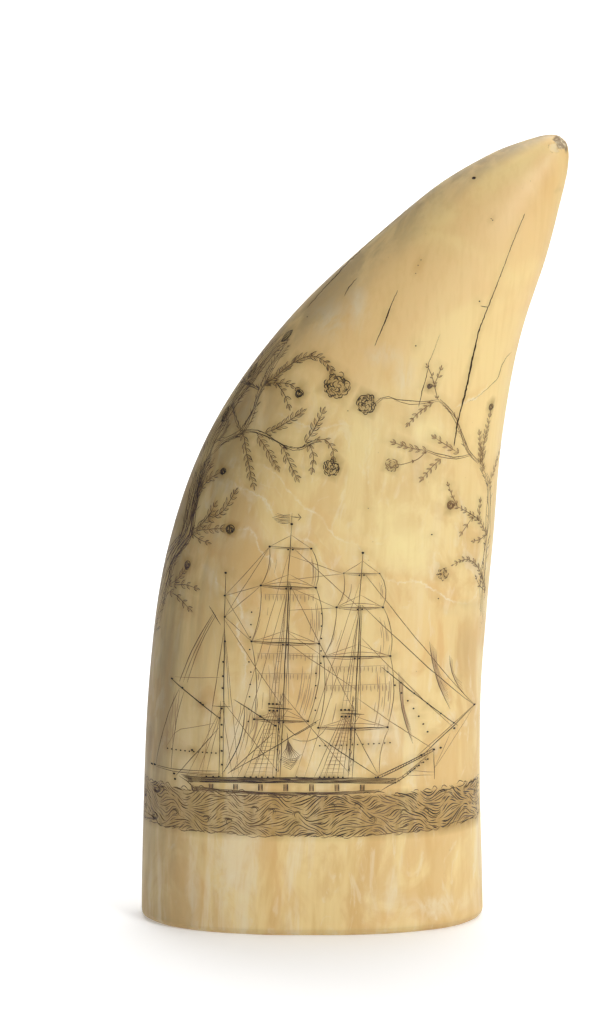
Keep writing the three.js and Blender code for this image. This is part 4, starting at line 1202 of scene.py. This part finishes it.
# The whole tooth as one closed mesh: engraved wall, tip rings, rounded edge, sawn flat and cavity.
def buildTooth():
    p, normal, turn, along, faces, faceInk, middle, half = engravedWall()
    print("engraved wall:", len(p), "points,", len(faces), "triangles")
    parts, normals, faceList = [p], [normal], [faces]
    turns, alongs, layers = [turn], [along], [np.zeros(len(p))]
    slots = [np.where(faceInk > 0, faceInk + 2, 0)]
    ring = np.linspace(-np.pi, np.pi, ringCount + 1)[:-1]
    first = len(p)

    def addGrid(turnGrid, alongGrid, points, slopes, layer, slot, flip=False):
        nonlocal first
        shape = points.shape[:2]
        parts.append(points.reshape(-1, 3))
        normals.append(slopes.reshape(-1, 3))
        turns.append(np.broadcast_to(turnGrid, shape).ravel())
        alongs.append(np.broadcast_to(alongGrid, shape).ravel())
        layers.append(np.broadcast_to(layer, shape).ravel())
        grid = ringFaces(shape[0], shape[1], first)
        faceList.append(grid[:, ::-1] if flip else grid)
        slots.append(np.full(len(grid), slot))
        first += points.shape[0] * points.shape[1]

    # the tip, in fine rings that close on a pole
    angle = np.linspace(0, 1, tipRings)
    rise = chart["tipStart"] + (0.9995 - chart["tipStart"]) * np.sin(angle * np.pi / 2)
    tipTurn, tipAlong = np.meshgrid(ring, rise)
    addGrid(tipTurn, tipAlong, wall(tipTurn, tipAlong), wallSlopes(tipTurn, tipAlong)[2], 0.0, 0)
    pole = parts[-1][-ringCount:].mean(0)
    # the rounded edge of the base
    bend = np.linspace(0, np.pi / 2, 6)[:, None]
    edgeTurn = np.broadcast_to(ring, (6, ringCount))
    edgePoints = outerWall(edgeTurn, alongStart * (1 - np.cos(bend)),
                           tooth["edgeRadius"] * (1 - np.sin(bend)))
    outward = wallSlopes(ring, np.full(ringCount, alongStart))[2]
    edgeNormals = outward[None] * np.sin(bend)[..., None] + np.array([0, 0, -1]) * np.cos(bend)[..., None]
    addGrid(edgeTurn, 0.0, edgePoints, edgeNormals, 0.0, 0)
    # the sawn flat, from the edge in to the mouth of the cavity
    outer = edgePoints[0] * (1, 1, 0)
    mouth = np.stack([np.sin(ring) * tooth["cavityWidth"] / 2, -np.cos(ring) * tooth["cavityBreadth"] / 2,
                      0 * ring], -1)
    layer = np.linspace(0, 1, 8)[:, None]
    flatPoints = outer[None] + (mouth - outer)[None] * layer[..., None]
    addGrid(np.broadcast_to(ring, (8, ringCount)), 0.0, flatPoints,
            np.broadcast_to((0.0, 0.0, -1.0), flatPoints.shape),
            layer, 1, flip=True)
    # the cavity's wall, up to its narrow end
    share = np.sin(np.linspace(0, np.pi / 2, 16) * 0.985)[:, None]
    radius = (1 - share**1.5)**0.8
    cavity = np.stack([mouth[:, 0] * radius, mouth[:, 1] * radius,
                       np.broadcast_to(share * tooth["cavityHeight"], (16, ringCount))], -1)
    over = np.roll(cavity, -1, 1) - np.roll(cavity, 1, 1)
    upward = np.gradient(cavity, axis=0)
    inward = -np.cross(over, upward)
    inward /= np.linalg.norm(inward, axis=-1, keepdims=True)
    addGrid(np.broadcast_to(ring, (16, ringCount)), 0.0, cavity, inward, 1 + share, 2, flip=True)
    end = parts[-1][-ringCount:].mean(0) + (0, 0, 0.3)

    # the two poles
    points = np.concatenate(parts + [pole[None], end[None]])
    tipRing = len(p) + (tipRings - 1) * ringCount + np.arange(ringCount)
    endRing = len(points) - 2 - ringCount + np.arange(ringCount)
    fan = np.stack([tipRing, np.roll(tipRing, -1), np.full(ringCount, len(points) - 2)], -1)
    fanIn = np.stack([np.roll(endRing, -1), endRing, np.full(ringCount, len(points) - 1)], -1)
    faces = np.concatenate(faceList + [fan, fanIn])
    slots = np.concatenate(slots + [np.zeros(ringCount, int), np.full(ringCount, 2)])
    normals = np.concatenate(normals + [[(0, 0, 1.0)], [(0, 0, -1.0)]])
    turns = np.concatenate(turns + [[0.0, 0.0]])
    alongs = np.concatenate(alongs + [[1.0, 0.0]])
    layers = np.concatenate(layers + [[0.0, 2.0]])

    # where two parts meet, equal points become one
    inner = (np.abs(turn) < np.pi - 1e-6) & (along > alongStart + 1e-6) & (along < chart["tipStart"] - 1e-6)
    alone = np.zeros(len(points), np.int64)
    alone[:len(p)] = np.where(inner, 1 + np.arange(len(p)), 0)
    key = np.column_stack([np.round(points / 2e-4).astype(np.int64), alone])
    _, kept, where = np.unique(key, axis=0, return_index=True, return_inverse=True)
    where = where.ravel()
    cornerNormals = normals[faces]
    welded = where[faces]
    good = (welded[:, 0] != welded[:, 1]) & (welded[:, 1] != welded[:, 2]) & (welded[:, 0] != welded[:, 2])
    first = np.unique(np.sort(welded, axis=1), axis=0, return_index=True)[1]
    good &= np.isin(np.arange(len(welded)), first)
    return (points[kept], welded[good], slots[good], cornerNormals[good], turns[kept], alongs[kept],
            layers[kept], middle, half)


points, faces, slots, cornerNormals, turns, alongs, layers, middle, half = buildTooth()
print("tooth mesh:", len(points), "points,", len(faces), "triangles")
shiftX = cadBox[0][0] / mm - points[:, 0].min()
mesh = bpy.data.meshes.new("scrimshawTooth")
mesh.vertices.add(len(points))
mesh.vertices.foreach_set("co", ((points + (shiftX, 0, 0)) * mm).ravel())
mesh.loops.add(3 * len(faces))
mesh.loops.foreach_set("vertex_index", faces.ravel())
mesh.polygons.add(len(faces))
mesh.polygons.foreach_set("loop_start", np.arange(0, 3 * len(faces), 3))
mesh.polygons.foreach_set("material_index", slots)
mesh.update(calc_edges=True)
problems = mesh.validate()
print("mesh problems:", problems)


# Grooves keep their own flat normals, and all the rest takes the wall's true ones.
def setNormals():
    a, b, c = (points[faces[:, k]] for k in range(3))
    flat = np.cross(b - a, c - a)
    flat /= np.maximum(np.linalg.norm(flat, axis=1, keepdims=True), 1e-12)
    corners = np.where((slots >= 3)[:, None, None], flat[:, None], cornerNormals)
    mesh.polygons.foreach_set("use_smooth", np.ones(len(faces), bool))
    mesh.normals_split_custom_set(corners.reshape(-1, 3))


# Everything that the ivory's material needs to know about a place, as attributes.
def setFields():
    x, z = points[:, 0], points[:, 2]
    front = np.clip(1.6 - np.abs(turns), 0, 0.4) / 0.4
    _, cut, flake = breakTip(outerWall(turns, np.clip(alongs, 0.001, 0.9995)))
    veinSide, veinNear = veinFields(x, z)
    inSea = np.clip((z - sea["foot"] + 0.6) / 0.8, 0, 1) * np.clip((sea["top"] + 0.5 - z) / 0.8, 0, 1)
    inSea *= np.clip((turns - sea["from"]) / 0.3, 0, 1) * np.clip((sea["to"] - turns) / 0.12, 0, 1)
    layer = {
        "veinSide": veinSide,
        "veinNear": veinNear * front,
        "yellowAndSheen": blobField("yellowAndSheen", x, z) * front,
        "pale": blobField("pale", x, z) * front,
        "amber": blobField("amber", x, z) * front,
        "grey": blobField("grey", x, z),
        "root": np.clip((0.72 + 0.03 * np.sin(3 * turns + 1) - alongs) / 0.1, 0, 1),
        "haze": np.maximum(0.8 * inkHaze(turns, alongs, middle, half), 0.85 * inSea),
        "height": alongs,
        "left": -np.sin(turns),
        "layer": layers,
        "chip": np.where(layers > 0, 0, np.clip(cut / 0.12, 0, 1)),
        "flake": np.where(layers > 0, 0, np.clip(flake / 0.25 + 1, 0, 2) / 2),
    }
    for name, values in layer.items():
        attribute = mesh.attributes.new(name, "FLOAT", "POINT")
        attribute.data.foreach_set("value", values.astype(np.float32))


setNormals()
setFields()
toothPiece = bpy.data.objects.new("toothFinished", mesh)
bpy.context.scene.collection.objects.link(toothPiece)


class Nodes:  # short calls for building a material's nodes
    def __init__(self, tree):
        self.tree = tree

    def add(self, kind, values=None, **settings):
        node = self.tree.nodes.new(kind)
        for name, value in settings.items():
            setattr(node, name, value)
        self.set(node, values or {})
        return node

    def set(self, node, values):
        for name, value in values.items():
            if isinstance(value, bpy.types.NodeSocket):
                self.tree.links.new(value, node.inputs[name])
            else:
                node.inputs[name].default_value = value

    def math(self, operation, a, b=0.0, clamp=False):
        return self.add("ShaderNodeMath", {0: a, 1: b}, operation=operation, use_clamp=clamp).outputs[0]

    def times(self, a, b, clamp=False):
        return self.math("MULTIPLY", a, b, clamp)

    def plus(self, a, b):
        return self.math("ADD", a, b)

    def minus(self, a, b):
        return self.math("SUBTRACT", a, b)

    def mix(self, factor, a, b):
        node = self.add("ShaderNodeMix", {"Factor": factor}, data_type="RGBA")
        for socket, value in ((6, a), (7, b)):  # the colour sockets come after the plain and vector ones
            self.set(node, {socket: value if isinstance(value, bpy.types.NodeSocket) else (*value, 1)})
        return node.outputs[2]

    def field(self, name):
        return self.add("ShaderNodeAttribute", attribute_name=name).outputs["Fac"]

    def noise(self, vector, scale, detail=4.0, roughness=0.55, distortion=0.0):
        values = {"Vector": vector, "Scale": scale, "Detail": detail, "Roughness": roughness,
                  "Distortion": distortion}
        return self.add("ShaderNodeTexNoise", values).outputs["Fac"]

    def stretch(self, vector, scale, turn=(0, 0, 0)):
        return self.add("ShaderNodeMapping", {"Vector": vector, "Scale": scale,
                                              "Rotation": turn}).outputs[0]

    def window(self, value, low, high, out0=0.0, out1=1.0):
        values = {"Value": value, "From Min": low, "From Max": high, "To Min": out0, "To Max": out1}
        return self.add("ShaderNodeMapRange", values, interpolation_type="SMOOTHSTEP").outputs[0]


# An empty material with its shader.
def newMaterial(name):
    material = bpy.data.materials.new(name)
    material.use_nodes = True
    material.node_tree.nodes.clear()
    n = Nodes(material.node_tree)
    shader = n.add("ShaderNodeBsdfPrincipled")
    output = n.add("ShaderNodeOutputMaterial", {"Surface": shader.outputs[0]})
    output.target = "ALL"
    return material, n, shader


ivory = {
    "cream": (0.765, 0.585, 0.265), "beige": (0.685, 0.475, 0.2), "honey": (0.62, 0.39, 0.13),
    "peach": (0.79, 0.555, 0.245), "tipCream": (0.83, 0.63, 0.28), "yellowAndSheen": (0.86, 0.73, 0.34),
    "pale": (0.78, 0.675, 0.45), "veinWhite": (0.84, 0.76, 0.56), "amber": (0.7, 0.4, 0.13),
    "grimeAndShade": (0.19, 0.135, 0.075), "haze": (0.25, 0.14, 0.02), "chip": (0.25, 0.185, 0.12),
    "roughness": (0.5, 0.52), "bump": 0.00012,
    # how far a layer covers those under it
    "clouded": 0.42, "yellowAndSheenCover": 0.65, "stained": 0.58, "warmed": 0.32, "veined": 0.5, "greyed": 0.6,
    "pitted": 0.5, "chipped": 0.9, "flakeHighlight": 0.4,
    "skin": {"Subsurface Weight": 0.16, "Subsurface Radius": (1.0, 0.55, 0.3), "Subsurface Scale": 0.0022,
             "Coat Weight": 0.05, "Coat Roughness": 0.25, "IOR": 1.54},
}
grainNames = ("Streaks", "Mottle", "Clouds", "Fibres", "Pores")


# Wear and growth shared by the ivory's materials: streaks along the tooth, soft mottling, fine
# fibres and pores, worked out from object coordinates.
def ivoryGroup():
    group = bpy.data.node_groups.new("ivoryGrain", "ShaderNodeTree")
    face = group.interface
    face.new_socket("Vector", in_out="INPUT", socket_type="NodeSocketVector")
    for name in grainNames:
        face.new_socket(name, in_out="OUTPUT", socket_type="NodeSocketFloat")
    n = Nodes(group)
    source = group.nodes.new("NodeGroupInput").outputs[0]
    sink = group.nodes.new("NodeGroupOutput")
    lean = n.stretch(source, (1, 1, 1), (0, -0.05, 0))
    streaks = n.noise(n.stretch(lean, (1, 1, 0.13)), 150.0, 5.0, 0.6, 0.4)
    mottle = n.noise(n.stretch(lean, (1, 1, 0.55)), 85.0, 5.0, 0.58, 1.3)
    clouds = n.noise(n.stretch(lean, (1, 1, 0.4)), 170.0, 6.0, 0.62, 1.8)
    fibres = n.noise(n.stretch(lean, (1, 1, 0.06)), 900.0, 3.0, 0.6)
    cells = n.add("ShaderNodeTexVoronoi", {"Vector": source, "Scale": 620.0, "Randomness": 1.0})
    pores = n.window(cells.outputs["Distance"], 0.1, 0.02)
    gate = n.window(n.noise(source, 170.0, 2.0), 0.6, 0.72)
    for name, value in zip(grainNames, (streaks, mottle, clouds, fibres, n.times(pores, gate))):
        group.links.new(value, sink.inputs[name])
    return group


grainGroup = ivoryGroup()


# The shared grain, on object coordinates.
def addGrain(n):
    where = n.add("ShaderNodeTexCoord").outputs["Object"]
    node = n.add("ShaderNodeGroup")
    node.node_tree = grainGroup
    n.tree.links.new(where, node.inputs["Vector"])
    return where, node


# Gives a shader its colour, its roughness and a relief of that many metres.
def dress(n, shader, colour, roughness, relief, distance):
    bump = n.add("ShaderNodeBump", {"Height": relief, "Distance": distance})
    n.set(shader, {"Base Color": colour, "Roughness": roughness, "Normal": bump.outputs[0]})


# Ivory: cream blotched with beige, with pale and brown streaks low down, smooth peach near the tip,
# pale veins and clouds, amber stains, a pale yellow patch with painted sheen, grey age mixed with
# painted shade in the left edge, painted shade along the foot, grey where ink has spread, and a
# painted highlight in the flake of the broken tip.
def polishedIvory():
    material, n, shader = newMaterial("agedIvory")
    where, grain = addGrain(n)
    streaks, mottle, clouds, fibres, pores = (grain.outputs[k] for k in grainNames)
    root, height = n.field("root"), n.field("height")
    low = n.window(height, 0.3, 0.04)
    brown = n.times(n.window(streaks, 0.5, 0.66), n.plus(n.times(low, 0.35), 0.3))
    white = n.times(n.window(streaks, 0.47, 0.36), n.plus(n.times(low, 0.45), 0.2))
    tipMottle = n.window(n.noise(where, 38.0, 3.0, 0.5, 0.6), 0.4, 0.62)
    tip = n.mix(tipMottle, ivory["tipCream"], ivory["peach"])
    patch = n.times(n.field("pale"), n.window(clouds, 0.38, 0.56, 0.15, 1.0))
    stain = n.times(n.field("amber"), n.window(mottle, 0.36, 0.6, 0.35, 1.0))
    # veins, with a warm shade along one side
    fray = n.times(n.minus(n.noise(where, 900.0, 5.0, 0.75), 0.5), 2.2)
    side, near = n.plus(n.field("veinSide"), fray), n.field("veinNear")
    warm = n.times(n.times(n.window(side, -0.1, -0.7), n.window(side, -2.4, -0.7)), near)
    broken = n.times(near, n.window(clouds, 0.4, 0.56, 0.35, 1.2))
    vein = n.times(n.window(n.math("ABSOLUTE", side), 0.32, 0.04), broken)
    # painted shade with some age in the left edge, grey patches, and painted contact shade along the foot
    edge = n.window(n.field("left"), n.window(root, 0.0, 1.0, 0.56, 0.3), 0.99)
    edge = n.times(edge, n.window(height, 0.0, 0.2, 0.46, 0.66))
    grimeAndShade = n.math("MAXIMUM", edge, n.times(n.field("grey"), ivory["greyed"]))
    grimeAndShade = n.times(grimeAndShade, n.window(streaks, 0.36, 0.6, 0.5, 1.0))
    # painted shade: a dark band along the foot, where the tooth meets the floor
    grimeAndShade = n.math("MAXIMUM", grimeAndShade, n.window(height, 0.012, 0.002, 0.0, 0.22))
    haze = n.times(n.field("haze"), n.window(clouds, 0.3, 0.6, 0.92, 0.66))
    # the broken tip, with a painted highlight as pale in the flake's scoop
    grit = n.noise(where, 900.0, 4.0, 0.7)
    chipTone = n.mix(n.window(grit, 0.45, 0.7), ivory["chip"], ivory["pale"])
    flake = n.plus(n.field("flake"), n.times(fray, 0.22))
    rim = n.window(n.math("ABSOLUTE", n.minus(flake, 0.36)), 0.14, 0.03)
    layers = (
        (brown, ivory["honey"]),
        (white, ivory["pale"]),
        (n.times(n.window(clouds, 0.55, 0.66), ivory["clouded"]), ivory["pale"]),
        # painted sheen: pale yellow where the light is strongest, partly the ivory's own yellow patch
        (n.minus(1.0, root), tip),
        (n.times(n.field("yellowAndSheen"), ivory["yellowAndSheenCover"]), ivory["yellowAndSheen"]),
        (patch, ivory["pale"]),
        (n.times(stain, ivory["stained"]), ivory["amber"]),
        (n.times(warm, ivory["warmed"]), ivory["amber"]),
        (n.times(vein, ivory["veined"], True), ivory["veinWhite"]),
        # dark grey-brown: painted shade mixed with grime and patina
        (grimeAndShade, ivory["grimeAndShade"]),
        (haze, ivory["haze"]),
        (n.window(fibres, 0.42, 0.7, 0.0, 0.14), ivory["honey"]),
        (n.times(pores, ivory["pitted"]), ivory["grimeAndShade"]),
        (n.times(n.field("chip"), ivory["chipped"]), chipTone),
        # painted highlight: pale colour in the flake's scoop
        (n.times(n.window(flake, 0.35, 0.75), ivory["flakeHighlight"]), ivory["pale"]),
        (n.times(rim, n.window(grit, 0.4, 0.62, 0.0, 0.8)), ivory["chip"]),
    )
    colour = n.mix(n.window(mottle, 0.42, 0.58), ivory["cream"], ivory["beige"])
    for cover, tone in layers:
        colour = n.mix(cover, colour, tone)
    rough = n.plus(n.window(root, 0.0, 1.0, *ivory["roughness"]), n.window(mottle, 0.3, 0.7, 0.0, 0.08))
    relief = n.plus(n.times(fibres, 0.35), n.times(mottle, 0.8))
    relief = n.minus(n.times(relief, n.window(root, 0.0, 1.0, 0.25, 1.0)), n.times(pores, 0.6))
    dress(n, shader, colour, rough, relief, ivory["bump"])
    for name, value in ivory["skin"].items():
        shader.inputs[name].default_value = value
    return material


sawn = {
    "ring": (0.62, 0.45, 0.25), "dark": (0.42, 0.27, 0.13), "fresh": (0.7, 0.57, 0.38),
    "rim": (0.3, 0.2, 0.11),
    "pore": (0.12, 0.08, 0.05), "rings": 46.0, "wander": 9.0, "sawScale": 330.0, "bump": 0.0001,
}


# The sawn root: growth layers as rings that follow the outline, crossed by faint saw marks.
def sawnIvory():
    material, n, shader = newMaterial("sawnRoot")
    where, grain = addGrain(n)
    layer, mottle = n.field("layer"), grain.outputs["Mottle"]
    bent = n.plus(n.times(layer, sawn["rings"]), n.times(n.noise(where, 90.0, 4.0), sawn["wander"]))
    rings = n.window(n.math("SINE", bent), -0.6, 0.9)
    colour = n.mix(n.times(rings, 0.45), sawn["ring"], sawn["dark"])
    colour = n.mix(n.window(mottle, 0.35, 0.7, 0.0, 0.5), colour, sawn["fresh"])
    colour = n.mix(n.window(layer, 0.14, 0.0, 0.0, 0.6), colour, sawn["rim"])
    colour = n.mix(n.times(grain.outputs["Pores"], 0.7), colour, sawn["pore"])
    marks = {"Vector": where, "Scale": sawn["sawScale"], "Distortion": 1.6, "Detail": 2.0}
    saw = n.add("ShaderNodeTexWave", marks, bands_direction="DIAGONAL").outputs["Fac"]
    relief = n.plus(n.times(saw, 0.5), n.times(rings, 0.3))
    dress(n, shader, colour, n.window(rings, 0.0, 1.0, 0.55, 0.7), relief, sawn["bump"])
    return material


pulp = {"bone": (0.4, 0.27, 0.14), "brown": (0.24, 0.15, 0.08), "deep": (0.08, 0.05, 0.03),
        "pore": (0.05, 0.03, 0.02), "bump": 0.0006}


# The pulp cavity: dry, rougher towards its narrow end, and darker there with painted shade.
def pulpWall():
    material, n, shader = newMaterial("pulpCavityWall")
    where, grain = addGrain(n)
    mottle = grain.outputs["Mottle"]
    streaks = n.noise(n.stretch(where, (1, 1, 0.4)), 240.0, 5.0)
    colour = n.mix(n.window(streaks, 0.3, 0.7), pulp["bone"], pulp["brown"])
    # painted shade: the wall grows darker the deeper it lies in the cavity
    colour = n.mix(n.window(n.field("layer"), 1.1, 2.0, 0.0, 0.75), colour, pulp["deep"])
    colour = n.mix(n.times(grain.outputs["Pores"], 0.8), colour, pulp["pore"])
    dress(n, shader, colour, n.window(mottle, 0.3, 0.7, 0.7, 0.9), mottle, pulp["bump"])
    return material


# Ink rubbed into the grooves: a fixed tone for each, matt, with specks where it is worn.
def inkMaterial(name, colour, roughness):
    material, n, shader = newMaterial(name)
    grit = n.noise(n.add("ShaderNodeTexCoord").outputs["Object"], 2400.0, 3.0)
    worn = n.window(grit, 0.3, 0.7, roughness - 0.08, roughness + 0.15)
    dress(n, shader, (*colour, 1), worn, grit, 0.00003)
    return material


for material in [polishedIvory(), sawnIvory(), pulpWall()] + [inkMaterial(k, *inks[k]) for k in inkNames]:
    mesh.materials.append(material)
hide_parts("tooth")
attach(toothPiece, "root")
print("tooth finished")


# A pale sheet that the tooth stands on, which sweeps up far behind it.
stage = {
    "near": -0.5, "far": 1.0, "half": 0.55, "bend": 0.5, "top": 0.6,
    "tones": ((0.88, 0.88, 0.88), (0.9, 0.9, 0.9)),
    # a bleached white floor
    "skin": {"Roughness": 0.9, "Emission Color": (1, 1, 1, 1), "Emission Strength": 0.26},
    "world": (0.95, 0.97, 1.0, 1), "worldStrength": 0.07,
}


# A level run, a quarter round and an upright, carried across the width.
def buildFloor():
    t = np.linspace(0, 1, 14)
    flatY = np.linspace(stage["near"], stage["far"], 6)[:-1]
    bendY = stage["far"] + stage["bend"] * np.sin(t * np.pi / 2)
    bendZ = stage["bend"] * (1 - np.cos(t * np.pi / 2))
    y = np.concatenate([flatY, bendY, [bendY[-1]]])
    z = np.concatenate([0 * flatY, bendZ, [stage["top"] + stage["bend"]]])
    rows = len(y)
    x = np.array([-stage["half"], stage["half"]])
    grid = np.stack([np.broadcast_to(x, (rows, 2)), np.broadcast_to(y[:, None], (rows, 2)),
                     np.broadcast_to(z[:, None], (rows, 2))], -1).reshape(-1, 3)
    quads = [(2 * r, 2 * r + 1, 2 * r + 3, 2 * r + 2) for r in range(rows - 1)]
    sheet = bpy.data.meshes.new("floor")
    sheet.from_pydata(grid.tolist(), [], quads)
    sheet.polygons.foreach_set("use_smooth", np.ones(len(quads), bool))
    floor = bpy.data.objects.new("floor", sheet)
    material, n, shader = newMaterial("floorPaper")
    where = n.add("ShaderNodeTexCoord").outputs["Object"]
    n.set(shader, {"Base Color": n.mix(n.noise(where, 3.0), *stage["tones"]), **stage["skin"]})
    sheet.materials.append(material)
    bpy.context.scene.collection.objects.link(floor)


buildFloor()
lights = (  # name, place, aimed at, size, power, colour
    ("keySoft", (0.77, -1.05, 0.67), (0.01, 0.0, 0.08), (0.5, 0.6), 13.6, (1.0, 0.985, 0.96)),
    ("topSoft", (0.1, 0.35, 1.2), (0.0, 0.05, 0.0), (1.0, 0.8), 9.6, (1.0, 1.0, 1.0)),
    ("backWash", (0.0, 0.75, 1.3), (0.0, 1.6, 0.3), (1.0, 0.5), 16.0, (1.0, 1.0, 1.0)),
)


def addLight(name, place, target, size, power, colour):
    data = bpy.data.lights.new(name, "AREA")
    data.shape = "RECTANGLE"
    data.size, data.size_y = size
    data.energy = power
    data.color = colour
    light = bpy.data.objects.new(name, data)
    light.location = place
    aim = np.array(target) - np.array(place)
    light.rotation_euler = (math.atan2(math.hypot(aim[0], aim[1]), -aim[2]), 0,
                            math.atan2(aim[0], -aim[1]) + math.pi)
    bpy.context.scene.collection.objects.link(light)


for light in lights:
    addLight(*light)
world = bpy.data.worlds.new("studio")
world.use_nodes = True
sky = world.node_tree.nodes["Background"]
sky.inputs["Color"].default_value = stage["world"]
sky.inputs["Strength"].default_value = stage["worldStrength"]
bpy.context.scene.world = world
bpy.context.scene.view_settings.view_transform = "Standard"

# The camera stands far off, a little above the tooth, as in the photograph.
view = {"elevation": 9.5, "distance": 1.5, "aimX": -0.8378, "aimZ": 85.7464, "pixelSize": 0.20945,
        "frame": (616, 1024)}
camera = bpy.data.objects.new("camera", bpy.data.cameras.new("camera"))
tilt = math.radians(view["elevation"])
aim = np.array([(view["aimX"] + shiftX) * mm, 0, view["aimZ"] * mm])
camera.location = aim + view["distance"] * np.array([0, -math.cos(tilt), math.sin(tilt)])
camera.rotation_euler = (math.pi / 2 - tilt, 0, 0)
camera.data.sensor_width = 36
camera.data.lens = 36 * view["distance"] / mm / view["pixelSize"] / view["frame"][1]
camera.data.clip_end = 20
bpy.context.scene.collection.objects.link(camera)
bpy.context.scene.camera = camera

print("scene ready")
